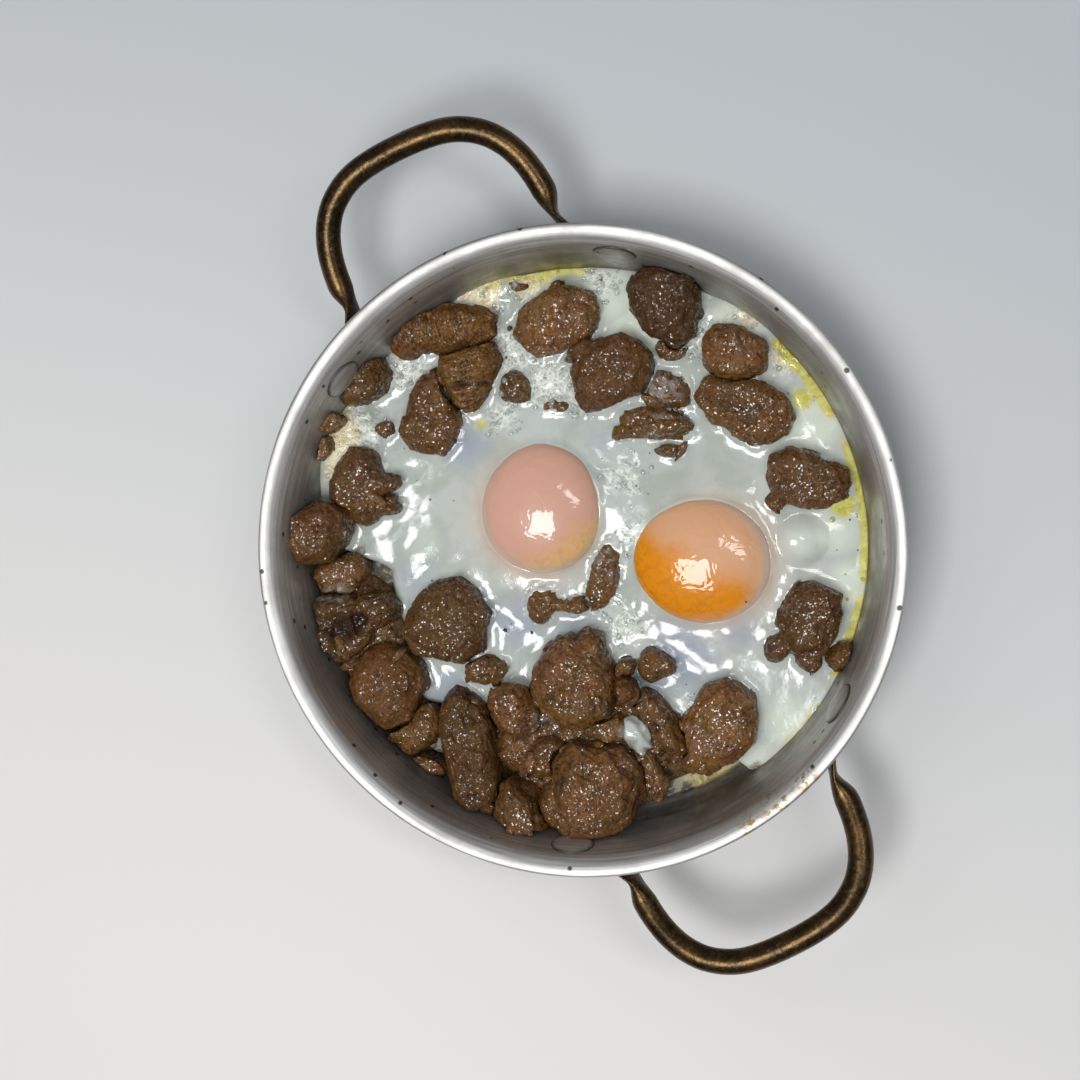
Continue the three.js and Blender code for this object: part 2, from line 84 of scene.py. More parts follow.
def high(node):
    """The top of a CAD node, in millimetres."""
    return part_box(node)[1].z / MM


# ------------------------------------------------------------------ sizes taken from the frame

RIM_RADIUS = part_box("pan")[1].y / MM
RIM_HEIGHT = high("pan")
FOOD_TURN = -26.7 * DEG  # from the handles' frame to the food's layout

# The pan's shape, as the CAD pan has it.
WALL = 1.5
FLOOR_RADIUS = 72.0
CORNER_RADIUS = 9.0
LIP_RADIUS = 5.0
EDGE_RADIUS = WALL / 2

# The hardware, as the CAD has it.
RIVET_HEIGHT = 24.0
ROD_RADIUS = 3.5
PAD_THICKNESS = 2.2
PAD_GAP = 0.55  # from the pan's outer wall to a handle's foot, which is flat where the wall is round


# ------------------------------------------------------------------ small geometry helpers


def arc(centre, radius, start, end, steps):
    """Points (radius, height) of an arc round a centre, for a profile."""
    turns = [start + (end - start) * i / steps for i in range(steps + 1)]
    return [(centre[0] + radius * math.cos(a), centre[1] + radius * math.sin(a)) for a in turns]


def smooth(value, low, high_end):
    """0 below low, 1 above high_end, and a smooth step between."""
    t = np.clip((value - low) / (high_end - low), 0.0, 1.0)
    return t * t * (3 - 2 * t)


def mix(a, b, share):
    return a + (b - a) * share


def laid(x, y, z=0.0):
    """A point of the food's layout, in the pan's frame."""
    return Vector((x, y, z)) @ Matrix.Rotation(-FOOD_TURN, 3, "Z")


def layout_of(points):
    """Frame points (an array of rows) as the food's layout sees them."""
    cos, sin = math.cos(-FOOD_TURN), math.sin(-FOOD_TURN)
    x, y = points[:, 0], points[:, 1]
    return np.stack([x * cos - y * sin, x * sin + y * cos, points[:, 2]], axis=1)


def coordinates(mesh):
    """Where the vertices of a mesh are, as an array of rows."""
    flat = np.empty(len(mesh.vertices) * 3, np.float32)
    mesh.vertices.foreach_get("co", flat)
    return flat.reshape(-1, 3).astype(float)


def normals(mesh):
    """Which way the surface faces at each vertex of a mesh, as an array of rows."""
    flat = np.empty(len(mesh.vertices) * 3, np.float32)
    mesh.vertex_normals.foreach_get("vector", flat)
    return flat.reshape(-1, 3).astype(float)


def set_coordinates(mesh, points):
    mesh.vertices.foreach_set("co", points.astype(np.float32).ravel())
    mesh.update()


def paint(mesh, name, values):
    """A number at each vertex, for the materials to read."""
    attribute = mesh.attributes.new(name, "FLOAT", "POINT")
    attribute.data.foreach_set("value", np.asarray(values, np.float32))


def mesh_from(bm, name):
    """A mesh from a bmesh, smooth-shaded."""
    for face in bm.faces:
        face.smooth = True
    mesh = bpy.data.meshes.new(name)
    bm.to_mesh(mesh)
    bm.free()
    return mesh


def finish(mesh, material, slot, replaces=()):
    """Makes the piece of a mesh in millimetres, rides it on the dish and puts its material on."""
    mesh.transform(Matrix.Scale(MM, 4))
    mesh.materials.clear()
    mesh.materials.append(material)
    piece = bpy.data.objects.new(mesh.name, mesh)
    bpy.context.scene.collection.objects.link(piece)
    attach(piece, "root")
    if replaces:
        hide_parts(*replaces)
    return piece


def spin_profile(bm, points, steps):
    """Spins a closed profile of (radius, height) points all the way round Z."""
    corners = [bm.verts.new((r, 0, z)) for r, z in points]
    edges = [bm.edges.new(pair) for pair in zip(corners, corners[1:])]
    bmesh.ops.spin(
        bm,
        geom=corners + edges,
        cent=(0, 0, 0),
        axis=(0, 0, 1),
        angle=2 * math.pi,
        steps=steps,
        use_merge=True,
    )
    bmesh.ops.remove_doubles(bm, verts=bm.verts[:], dist=1e-4)
    bmesh.ops.recalc_face_normals(bm, faces=bm.faces[:])


# ------------------------------------------------------------------ the pan's own sizes

CORNER = (FLOOR_RADIUS, WALL + CORNER_RADIUS)
LIP = (RIM_RADIUS - EDGE_RADIUS, RIM_HEIGHT - LIP_RADIUS)
CORNER_TO_LIP = math.hypot(LIP[0] - CORNER[0], LIP[1] - CORNER[1])
# How far the wall's outward normal is tilted up from level.
WALL_NORMAL = math.atan2(LIP[1] - CORNER[1], LIP[0] - CORNER[0]) - math.acos(
    (CORNER_RADIUS + LIP_RADIUS) / CORNER_TO_LIP
)


def inner_profile(offset, fine):
    """The pan's inner surface from its centre to the top of its lip, moved inwards by offset."""
    return [
        (0, WALL + offset),
        *arc(CORNER, CORNER_RADIUS - offset, -90 * DEG, WALL_NORMAL, fine),
        *arc(LIP, LIP_RADIUS + offset, WALL_NORMAL + 180 * DEG, 90 * DEG, fine),
    ]


def inner_radius(height):
    """How far the pan's inner surface is from its axis, at heights (an array)."""
    points = np.array(inner_profile(0, 16))
    return np.interp(height, points[1:, 1], points[1:, 0])


# ------------------------------------------------------------------ nodes of a material


class Finish:
    """A material, and short names for the nodes that its finish is made of."""

    def __init__(self, name):
        self.material = bpy.data.materials.new(name)
        self.material.use_nodes = True
        self.tree = self.material.node_tree
        self.tree.nodes.clear()
        self.place = self.node("TexCoord").outputs["Object"]

    def node(self, kind, inputs=(), **settings):
        made = self.tree.nodes.new("ShaderNode" + kind)
        for name, value in settings.items():
            setattr(made, name, value)
        for socket, value in dict(inputs).items():
            if isinstance(value, bpy.types.NodeSocket):
                self.tree.links.new(value, made.inputs[socket])
            else:
                made.inputs[socket].default_value = value
        return made

    def noise(self, scale, detail=3.0, roughness=0.5, distortion=0.0, place=None):
        sockets = {
            "Vector": place or self.place,
            "Scale": scale,
            "Detail": detail,
            "Roughness": roughness,
            "Distortion": distortion,
        }
        return self.node("TexNoise", sockets).outputs["Fac"]

    def cells(self, scale, feature="F1", place=None):
        sockets = {"Vector": place or self.place, "Scale": scale}
        return self.node("TexVoronoi", sockets, feature=feature).outputs["Distance"]

    def speckle(self, scale, place=None):
        """A random number for each cell of a Voronoi pattern."""
        sockets = {"Vector": place or self.place, "Scale": scale}
        colour = self.node("TexVoronoi", sockets).outputs["Color"]
        return self.node("SeparateColor", {"Color": colour}).outputs["Red"]

    def shifted(self, vector, pattern, scale, reach, place=None):
        """The vector, moved up to half of reach each way by the colours of a pattern."""
        colour = self.node(pattern, {"Vector": place or self.place, "Scale": scale}).outputs["Color"]
        centred = self.node("VectorMath", {0: colour, 1: (0.5, 0.5, 0.5)}, operation="SUBTRACT").outputs[0]
        moved = self.node("VectorMath", {0: centred, "Scale": reach}, operation="SCALE").outputs[0]
        return self.node("VectorMath", {0: vector, 1: moved}, operation="ADD").outputs[0]

    def facets(self, normal, scale, tilt, place=None):
        """The normal, tilted another way in each small cell, so that single cells catch the light."""
        tilted = self.shifted(normal, "TexVoronoi", scale, tilt, place)
        return self.node("VectorMath", {0: tilted}, operation="NORMALIZE").outputs[0]

    def attribute(self, name):
        return self.node("Attribute", attribute_name=name).outputs["Fac"]

    def vector_attribute(self, name):
        return self.node("Attribute", attribute_name=name).outputs["Vector"]

    def math(self, operation, a, b=0.0):
        return self.node("Math", {0: a, 1: b}, operation=operation).outputs[0]

    def times(self, a, b):
        return self.math("MULTIPLY", a, b)

    def plus(self, a, b):
        return self.math("ADD", a, b)

    def step(self, value, low, top, start=0.0, end=1.0):
        """value, from low to top, as start to end, with soft ends."""
        sockets = {"Value": value, "From Min": low, "From Max": top, "To Min": start, "To Max": end}
        return self.node("MapRange", sockets, interpolation_type="SMOOTHSTEP").outputs["Result"]

    def mix(self, share, a, b, blend="MIX"):
        """Two colours, mixed."""
        made = self.node("Mix", data_type="RGBA", blend_type=blend)
        for index, value in ((0, share), (6, a), (7, b)):
            if isinstance(value, bpy.types.NodeSocket):
                self.tree.links.new(value, made.inputs[index])
            elif index == 0:
                made.inputs[0].default_value = value
            else:
                made.inputs[index].default_value = (*value[:3], 1)
        return made.outputs[2]

    def bump(self, height, distance, strength=1.0, under=None):
        sockets = {"Height": height, "Distance": distance, "Strength": strength}
        if under:
            sockets["Normal"] = under
        return self.node("Bump", sockets).outputs["Normal"]

    def stretched(self, scale, place=None):
        """The place, scaled apart along its three axes."""
        return self.node("Mapping", {"Vector": place or self.place, "Scale": scale}).outputs["Vector"]

    def surface(self, **sockets):
        """The Principled surface; a name's underscores stand for spaces."""
        names = {key.replace("_", " "): value for key, value in sockets.items()}
        for key in ("Base Color", "Coat Tint", "Emission Color"):
            if key in names and not isinstance(names[key], bpy.types.NodeSocket):
                names[key] = (*names[key][:3], 1)
        shader = self.node("BsdfPrincipled", names).outputs["BSDF"]
        self.node("OutputMaterial", {"Surface": shader})
        return self.material


# ------------------------------------------------------------------ materials

# Colours of stains, fat, films and froth, of darkening, and of painted shade. Where there are two, the
# pattern runs from one to the other.
DULL_ALUMINIUM = (0.44, 0.44, 0.43)
SMUDGE = (0.36, 0.35, 0.33)
GRIME = (0.125, 0.095, 0.06)
# The pan's darkening low on its inner wall and round its rivets.
DARKENED = (0.025, 0.022, 0.018)
WALL_GREASE = (0.34, 0.31, 0.05)
BURNT_FAT = (0.33, 0.20, 0.05)
PIT = (0.035, 0.03, 0.025)
BRASS_PATINA = (0.040, 0.024, 0.012)
BRASS_RUBBED = (0.26, 0.17, 0.075)
BRASS_REDDISH = (0.15, 0.070, 0.030)
BRASS_SPOT = (0.012, 0.008, 0.006)
# Painted shade in the meat's creases and hollows.
MEAT_HOLLOW_SHADE = (0.013, 0.005, 0.002)
MEAT_FAT = (0.38, 0.225, 0.13)
EGG_FILM = (0.46, 0.47, 0.45)
CLOUDY_WHITE = (0.41, 0.45, 0.405)
FIRM_WHITE = (0.66, 0.715, 0.62)
YOLK_BLUSH = (0.62, 0.42, 0.31)
FROTH_WALLS = (0.76, 0.80, 0.73)
FROTH_HOLES = (0.36, 0.39, 0.34), (0.52, 0.56, 0.52)
CURDS = (0.60, 0.43, 0.19), (0.80, 0.74, 0.50)
CURD_WALLS = (0.84, 0.82, 0.66)
EGG_FAT = (0.55, 0.49, 0.02), (0.68, 0.65, 0.16)
EGG_JUICE = (0.17, 0.105, 0.05)
JUICES = (0.042, 0.033, 0.022), (0.115, 0.085, 0.05)
JUICE_FROTH = (0.26, 0.23, 0.17)
JUICE_CRUMBS = (0.018, 0.015, 0.012)
JUICE_FAT = (0.30, 0.24, 0.07)
BUBBLE_SKIN = (0.86, 0.90, 0.88)
PEPPERCORN = (0.012, 0.009, 0.007), (0.06, 0.042, 0.03)
YOLK_VEINS = 0.72  # how dark the veins are, as a share of the yolk's colour


def ring_place(finish, along, across):
    """A place for streaks that run round Z: slow along the ring and quick across it, with no seam."""
    parts = finish.node("SeparateXYZ", {"Vector": finish.place}).outputs
    flat = finish.node("CombineXYZ", {"X": parts["X"], "Y": parts["Y"]}).outputs[0]
    length = finish.node("VectorMath", {0: flat}, operation="LENGTH").outputs["Value"]
    unit = finish.node("VectorMath", {0: flat}, operation="NORMALIZE").outputs[0]
    unit = finish.node("SeparateXYZ", {"Vector": unit}).outputs
    return finish.node(
        "CombineXYZ",
        {
            "X": finish.times(unit["X"], along),
            "Y": finish.times(unit["Y"], along),
            "Z": finish.times(finish.plus(length, parts["Z"]), across),
        },
    ).outputs[0]


def aluminium_material(look):
    """Spun aluminium: streaks round the pan, smudges, pits, and fat and burnt spots where food was."""
    f = Finish("spun aluminium")
    streaks = f.noise(1, 4, 0.65, place=ring_place(f, 2.5, 1100))
    fine = f.noise(1, 2, 0.5, place=ring_place(f, 7.0, 3600))
    clouds = f.noise(42, 4, 0.6, 0.4)
    rubbed = f.noise(170, 4, 0.65)
    pits = f.times(f.step(f.speckle(330), 0.93, 0.94), f.step(f.cells(330), 0.30, 0.18))
    specks = f.times(f.step(f.speckle(190), 0.94, 0.95), f.step(f.cells(190), 0.17, 0.10))
    dirt = f.attribute("dirt")
    colour = f.mix(f.step(streaks, 0.28, 0.72), DULL_ALUMINIUM, look.aluminium)
    colour = f.mix(f.step(clouds, 0.42, 0.75, 0.0, 0.45), colour, SMUDGE)
    grime = f.step(f.plus(f.times(rubbed, 0.6), f.times(clouds, 0.55)), 0.42, 0.74)
    colour = f.mix(f.times(dirt, f.plus(f.times(grime, 0.5), 0.22)), colour, GRIME)
    # The pan darker low on its inner wall, most on one side, and in the seams round the rivet heads.
    colour = f.mix(f.attribute("soot"), colour, DARKENED)
    greased = f.times(f.attribute("fat"), f.step(f.plus(rubbed, clouds), 0.7, 1.2))
    colour = f.mix(f.times(greased, 0.75), colour, WALL_GREASE)
    burnt = f.times(f.attribute("burnt"), f.step(f.noise(480, 4, 0.7), 0.50, 0.60))
    colour = f.mix(burnt, colour, BURNT_FAT)
    colour = f.mix(f.times(f.plus(pits, specks), 0.9), colour, PIT)
    rough = f.plus(f.step(streaks, 0.2, 0.8, 0.40, 0.56), f.times(grime, 0.06))
    height = f.plus(f.plus(f.times(streaks, 0.6), f.times(fine, 0.5)), f.times(pits, -1.2))
    normal = f.bump(height, 0.00005, 0.8)
    return f.surface(Base_Color=colour, Metallic=0.82, Roughness=rough, Normal=normal)


def brass_material(look):
    """Antique brass: a dark brown patina, rubbed to the metal in streaks, with reddish patches and dark
    spots.
    """
    f = Finish("antique brass")
    broad = f.noise(110, 4, 0.6)
    grain = f.noise(1, 4, 0.65, place=f.stretched((900, 900, 2600)))
    mottle = f.noise(750, 4, 0.7)
    rubbed = f.step(f.plus(f.times(grain, 0.5), f.times(mottle, 0.5)), 0.5, 0.66)
    colour = f.mix(f.step(broad, 0.35, 0.65), BRASS_PATINA, look.brass)
    colour = f.mix(f.times(rubbed, 0.55), colour, BRASS_RUBBED)
    colour = f.mix(f.step(f.noise(55, 2), 0.52, 0.75, 0.0, 0.5), colour, BRASS_REDDISH)
    spots = f.step(f.noise(1500, 3, 0.7), 0.54, 0.66)
    colour = f.mix(f.times(spots, 0.8), colour, BRASS_SPOT)
    rough = f.step(mottle, 0.3, 0.75, 0.22, 0.45)
    normal = f.bump(f.plus(mottle, f.times(grain, 0.5)), 0.00007, 0.7)
    return f.surface(Base_Color=colour, Metallic=0.9, Roughness=rough, Normal=normal)


def meat_material(look):
    """Braised meat: brown fibres under a wet coat of juices, pale where fat or egg lies on it, with painted
    light on its fibres' ridges and painted shade in its pits, grooves, creases and hollows.
    """
    f = Finish("braised meat")
    along = f.vector_attribute("fibre")
    broad = f.noise(130, 3, 0.6)
    fibres = f.noise(1, 3, 0.6, place=f.stretched((110, 560, 560), along))
    threads = f.noise(1, 3, 0.65, 0.2, place=f.stretched((240, 1700, 1700), along))
    pebbles = f.noise(1000, 3, 0.7, 0.3)
    grain = f.noise(2300, 2, 0.6)
    tone = f.plus(f.attribute("tone"), f.step(f.noise(75, 2, 0.5), 0.35, 0.65, -0.45, 0.45))
    brown = f.mix(f.math("MINIMUM", f.math("MAXIMUM", tone, 0.0), 1.0), look.meat_olive, look.meat_red)
    colour = f.mix(f.step(broad, 0.36, 0.58, 0.45, 1.0), look.dark_and_shaded_meat, brown)
    # Fibres paler where they stand highest: partly the meat's own pale fibres, partly painted light on their
    # ridges.
    colour = f.mix(f.step(fibres, 0.46, 0.72, 0.0, 0.45), colour, look.pale_and_lit_meat)
    combed = f.times(f.attribute("combed"), f.step(broad, 0.62, 0.42, 0.35, 1.0))
    # Threads that show: painted light on their ridges and painted shade in the grooves between them.
    colour = f.mix(f.times(f.step(threads, 0.50, 0.62), combed), colour, look.pale_and_lit_meat)
    colour = f.mix(f.times(f.step(threads, 0.48, 0.38), combed), colour, look.dark_and_shaded_meat)
    # Painted shade in the pits of the fine grain.
    colour = f.mix(f.step(pebbles, 0.52, 0.36, 0.0, 0.85), colour, look.dark_and_shaded_meat)
    colour = f.mix(f.step(grain, 0.55, 0.67, 0.0, 0.65), colour, look.pale_and_lit_meat)
    colour = f.mix(f.attribute("shade"), colour, look.dark_and_shaded_meat)
    # Painted shade, deep in the creases and in the carved hollows.
    colour = f.mix(f.times(f.attribute("hollow"), 0.9), colour, MEAT_HOLLOW_SHADE)
    fatty = f.times(f.attribute("fat"), f.step(f.noise(330, 4, 0.7), 0.44, 0.58))
    colour = f.mix(f.times(fatty, 0.55), colour, MEAT_FAT)
    film = f.times(f.attribute("film"), f.step(f.noise(240, 3, 0.6, 1.2), 0.42, 0.60))
    colour = f.mix(f.times(film, 0.4), colour, EGG_FILM)
    height = f.plus(f.times(threads, f.attribute("combed")), f.plus(pebbles, f.times(fibres, 0.6)))
    normal = f.bump(height, 0.0006, 0.85)
    wet = f.bump(f.noise(420, 3, 0.6), 0.00035, 0.7)
    crushed = f.shifted(f.place, "TexNoise", 900, 0.0007)
    dry = f.times(f.attribute("dry"), f.step(f.noise(160, 2), 0.35, 0.55, 0.4, 1.0))
    soaked = f.step(f.noise(850, 3, 0.6), 0.43, 0.55, 0.05, 1.0)
    return f.surface(
        Base_Color=colour,
        Roughness=0.5,
        Specular_IOR_Level=0.12,
        Coat_Weight=f.times(soaked, f.step(dry, 0.0, 1.0, 1.0, 0.3)),
        Coat_Roughness=0.045,
        Coat_IOR=1.8,
        Normal=normal,
        Coat_Normal=f.facets(wet, 2200, 0.85, crushed),
    )


def white_material(look):
    """Softly set egg white: milky, bluish where it is thin, with froth, cream and juices in it."""
    f = Finish("soft egg white")
    clouds = f.noise(70, 4, 0.6, 0.4)
    wisps = f.noise(260, 5, 0.62, 1.2)
    warped = f.shifted(f.place, "TexNoise", 500, 0.0016)

    def zone_share(name, low, high_end, ragged):
        held = f.plus(f.attribute(name), f.times(f.plus(wisps, -0.5), ragged))
        return f.step(held, low, high_end)

    froth = zone_share("froth", 0.35, 0.7, 1.0)
    cream = zone_share("cream", 0.35, 0.7, 1.0)
    fat = zone_share("fat", 0.35, 0.75, 0.9)
    juice = zone_share("juice", 0.35, 0.8, 0.9)
    blue = f.step(f.plus(f.attribute("blue"), f.times(f.plus(clouds, -0.5), 0.8)), 0.1, 0.9)
    firm = f.step(f.plus(f.attribute("firm"), f.times(f.plus(clouds, -0.5), 0.5)), 0.25, 0.8)
    colour = f.mix(f.step(clouds, 0.38, 0.66), look.white, CLOUDY_WHITE)
    colour = f.mix(blue, colour, look.thin_white)
    colour = f.mix(firm, colour, FIRM_WHITE)
    colour = f.mix(f.times(f.attribute("glow"), 0.7), colour, YOLK_BLUSH)
    large = f.cells(310, "DISTANCE_TO_EDGE", place=warped)
    small = f.cells(820, "DISTANCE_TO_EDGE", place=warped)
    walls = f.math("MAXIMUM", f.step(large, 0.20, 0.03), f.step(small, 0.22, 0.03, 0.0, 0.6))
    holes = f.mix(f.speckle(310, warped), *FROTH_HOLES)
    colour = f.mix(froth, colour, f.mix(walls, holes, FROTH_WALLS))
    curds = f.mix(f.step(wisps, 0.36, 0.64), *CURDS)
    colour = f.mix(cream, colour, f.mix(f.times(walls, 0.5), curds, CURD_WALLS))
    colour = f.mix(f.times(fat, 0.9), colour, f.mix(f.step(wisps, 0.4, 0.6), *EGG_FAT))
    colour = f.mix(juice, colour, EGG_JUICE)
    lumpy = f.math("MINIMUM", f.plus(froth, cream), 1.0)
    domes = f.plus(f.step(large, 0.0, 0.45), f.times(f.step(small, 0.0, 0.4), 0.5))
    height = f.plus(f.times(f.times(domes, 0.9), lumpy), f.times(wisps, 0.22))
    height = f.plus(height, f.times(f.noise(520, 3, 0.55), 0.18))
    normal = f.bump(height, 0.0006, 0.75)
    return f.surface(
        Base_Color=colour,
        Roughness=f.step(lumpy, 0.0, 1.0, 0.12, 0.24),
        Specular_IOR_Level=0.45,
        Subsurface_Weight=0.5,
        Subsurface_Radius=(0.0022, 0.0026, 0.0030),
        Subsurface_Scale=1.0,
        Coat_Weight=0.55,
        Coat_Roughness=0.04,
        Normal=normal,
    )


def yolk_material(name, film, orange, edge):
    """A soft yolk: orange where it shows, salmon under its film, and milky towards its edge."""
    f = Finish(name)
    clouds = f.noise(90, 3, 0.5, 0.3)
    veins = f.noise(260, 4, 0.6, 1.6)
    filmed = f.step(f.plus(f.attribute("filmed"), f.times(f.plus(clouds, -0.5), 0.5)), 0.15, 0.85)
    body = f.mix(f.step(veins, 0.46, 0.64, 0.0, 0.5), orange, [YOLK_VEINS * part for part in orange])
    colour = f.mix(filmed, body, film)
    skirt = f.plus(f.attribute("skirt"), f.times(f.plus(clouds, -0.5), 0.4))
    colour = f.mix(f.step(skirt, 0.05, 0.95), colour, edge)
    normal = f.bump(f.noise(150, 2, 0.6, 0.8), 0.0004, 0.8)
    return f.surface(
        Base_Color=colour,
        Roughness=0.3,
        Specular_IOR_Level=0.2,
        Subsurface_Weight=0.4,
        Subsurface_Radius=(0.0050, 0.0022, 0.0008),
        Subsurface_Scale=1.0,
        Coat_Weight=1.0,
        Coat_Roughness=0.03,
        Coat_IOR=1.5,
        Normal=normal,
        Coat_Normal=normal,
    )


def juice_material():
    """The thin brown juices of the meat, with fat and dark crumbs floating in them."""
    f = Finish("meat juices")
    clouds = f.noise(150, 4, 0.65, 0.8)
    flecks = f.noise(620, 4, 0.72)
    colour = f.mix(f.step(clouds, 0.35, 0.65), *JUICES)
    colour = f.mix(f.step(flecks, 0.56, 0.66, 0.0, 0.55), colour, JUICE_FROTH)
    colour = f.mix(f.step(flecks, 0.44, 0.34, 0.0, 0.8), colour, JUICE_CRUMBS)
    colour = f.mix(f.times(f.attribute("fat"), f.step(clouds, 0.3, 0.6)), colour, JUICE_FAT)
    normal = f.bump(flecks, 0.0003, 0.8)
    return f.surface(
        Base_Color=colour,
        Roughness=0.35,
        Specular_IOR_Level=0.25,
        Coat_Weight=0.2,
        Coat_Roughness=0.08,
        Normal=normal,
    )


def oil_material(look):
    """Clear yellow fat."""
    f = Finish("melted fat")
    return f.surface(Base_Color=look.oil, Roughness=0.03, IOR=1.46, Transmission_Weight=0.9)


def bubble_material():
    """The skin of a bubble: clear, with a bright edge."""
    f = Finish("froth bubbles")
    return f.surface(
        Base_Color=BUBBLE_SKIN,
        Roughness=0.04,
        IOR=1.33,
        Transmission_Weight=0.75,
        Coat_Weight=0.5,
        Coat_Roughness=0.02,
    )


def pepper_material():
    """Ground black pepper: dark husks and paler insides."""
    f = Finish("ground pepper")
    colour = f.mix(f.step(f.noise(2500, 2), 0.4, 0.6), *PEPPERCORN)
    return f.surface(Base_Color=colour, Roughness=0.45, Coat_Weight=0.4, Coat_Roughness=0.1)


def floor_material(look):
    """A pale floor with painted shade: darker and bluer towards one corner, as light falls off across a
    studio sweep.
    """
    f = Finish("pale floor")
    parts = f.node("SeparateXYZ", {"Vector": f.place}).outputs
    slope = f.plus(parts["X"], parts["Y"])
    # Painted shade: darker and bluer towards the far corner.
    colour = f.mix(f.step(slope, -0.28, 0.28), look.floor, look.shaded_far_floor)
    return f.surface(Base_Color=colour, Roughness=0.7, Specular_IOR_Level=0.2)


# ------------------------------------------------------------------ the user's sizes and colours


def length(name, description, millimetres, low=0.0, top=500.0):
    """A length that the user can change, with its default and its limits in millimetres."""
    return FloatProperty(
        name=name,
        description=description,
        default=millimetres * MM,
        min=low * MM,
        max=top * MM,
        precision=5,
        unit="LENGTH",
    )


def colour(name, description, value):
    return FloatVectorProperty(
        name=name, description=description, default=value, size=3, min=0, max=1, subtype="COLOR"
    )


class DishColours(bpy.types.PropertyGroup):
    """The colours of the dish."""

    aluminium: colour("Aluminium", "Bright brushed metal of the pan", (0.75, 0.745, 0.73))
    brass: colour("Brass", "Old brass under the patina", (0.085, 0.052, 0.020))
    # Dark meat, for darker patches and chunks, and for painted shade in the pits and grooves of its grain.
    dark_and_shaded_meat: colour("Dark meat", "Meat in its creases", (0.036, 0.014, 0.003))
    meat_red: colour("Reddish meat", "The redder chunks", (0.168, 0.062, 0.013))
    meat_olive: colour("Olive meat", "The browner chunks", (0.128, 0.063, 0.005))
    # Pale meat, for pale specks and fibres, and for painted light on the fibres' ridges.
    pale_and_lit_meat: colour("Light meat", "Fibres that catch the light", (0.275, 0.128, 0.040))
    white: colour("Egg white", "Milky, set egg white", (0.50, 0.535, 0.505))
    thin_white: colour("Thin egg white", "Egg white where it is thin", (0.355, 0.39, 0.45))
    left_film: colour("Left film", "Film over the left yolk", (0.60, 0.345, 0.26))
    left_yolk: colour("Left yolk", "The left yolk where it is bare", (0.66, 0.40, 0.17))
    left_edge: colour("Left edge", "The left yolk's milky edge", (0.58, 0.48, 0.42))
    right_film: colour("Right film", "Film over the right yolk", (0.64, 0.355, 0.20))
    right_yolk: colour("Right yolk", "The right yolk where it is bare", (0.67, 0.235, 0.0))
    right_edge: colour("Right edge", "The right yolk's milky edge", (0.60, 0.47, 0.38))
    oil: colour("Fat", "Melted fat", (0.86, 0.80, 0.32))
    floor: colour("Near floor", "The pale floor in front of the pan", (0.70, 0.685, 0.665))
    # Painted shade: the floor is darker and bluer behind the pan, as if less light reached it.
    shaded_far_floor: colour("Far floor", "The pale floor behind the pan", (0.46, 0.49, 0.515))


class PanSizes(bpy.types.PropertyGroup):
    """How finely the pan, its rivets and its handles are made, and the sizes of the hardware."""

    steps: IntProperty(name="Steps round", description="Faces round the pan", default=288, min=48, max=720)
    head: length("Rivet head", "Radius of a rivet's inner head", 6.2)
    head_rise: length("Head rise", "How far the inner head stands proud", 1.3)
    rod: length("Rod", "Radius of the handle's rod", ROD_RADIUS)
    pad_thickness: length("Pad thickness", "Of the rod's flattened foot", PAD_THICKNESS)
    pad_height: length("Pad height", "Of the rod's flattened foot", 11.5)


class MeatSizes(bpy.types.PropertyGroup):
    """The relief of the meat."""

    voxel: length("Voxel", "Size of the faces of a chunk", 0.5, 0.3, 3)
    crag: length("Crags", "Height of the lumps of a chunk", 0.7, 0, 5)
    facet: length("Facets", "How much the flat faces of a chunk are tilted", 1.9, 0, 9)
    crease: length("Creases", "Depth of the creases of a chunk", 0.3, 0, 3)
    fibre: length("Fibres", "Height of the meat's fibres", 0.15, 0, 2)
    knob: length("Knobs", "Height of the meat's grain", 0.10, 0, 2)


class EggSizes(bpy.types.PropertyGroup):
    """The set egg white, as the CAD egg white has it, and its fine relief."""

    steps: IntProperty(
        name="Steps across", description="Faces across the white", default=270, min=60, max=300
    )
    level: length("Level", "Top of the set white over most of the pan", 10)
    edge_drop: length("Edge drop", "How much thinner the white is at the wall", 2.2)
    mound: length("Mound", "How much higher the white stands round a yolk", 2)
    meniscus: length("Meniscus", "How far the white climbs up what stands in it", 1.1, 0, 4)
    ripple: length("Ripple", "Height of the white's waves", 0.36, 0, 3)


class StageSizes(bpy.types.PropertyGroup):
    """The camera, which looks down at the dish as in the photograph."""

    distance: length("Camera distance", "From the middle of the rim", 420, 100, 5000)
    lens: FloatProperty(
        name="Lens", description="Focal length", default=51.2, min=10, max=200, unit="CAMERA"
    )
    tilt: FloatProperty(
        name="Tilt", description="Of the camera off straight above", default=9.85 * DEG, subtype="ANGLE"
    )
    bearing: FloatProperty(
        name="Bearing", description="The side it looks from", default=28.3 * DEG, subtype="ANGLE"
    )


# ------------------------------------------------------------------ the pan and its hardware

# Marks on the pan, in the food's layout: x, y and z of the middle, and the radius.
WALL_FAT = [(83, 14, 20, 13), (84, -12, 16, 12), (-5, 83, 14, 14), (-25, 80, 12, 12)]
# The side where the inner wall is darkest low down.
DARKEST_BEARING = 228 * DEG
RIM_BURNS = [(58, -68, 33, 9), (64, -60, 33, 6), (50, -74, 33, 6)]


def near_spots(points, spots):
    """How near each layout point (an array) is to the nearest spot: 1 in its middle, 0 outside."""
    near = np.zeros(len(points))
    for x, y, z, radius in spots:
        far = np.linalg.norm(points - np.array((x, y, z)), axis=1) / radius
        near = np.maximum(near, 1 - smooth(far, 0.25, 1.0))
    return near


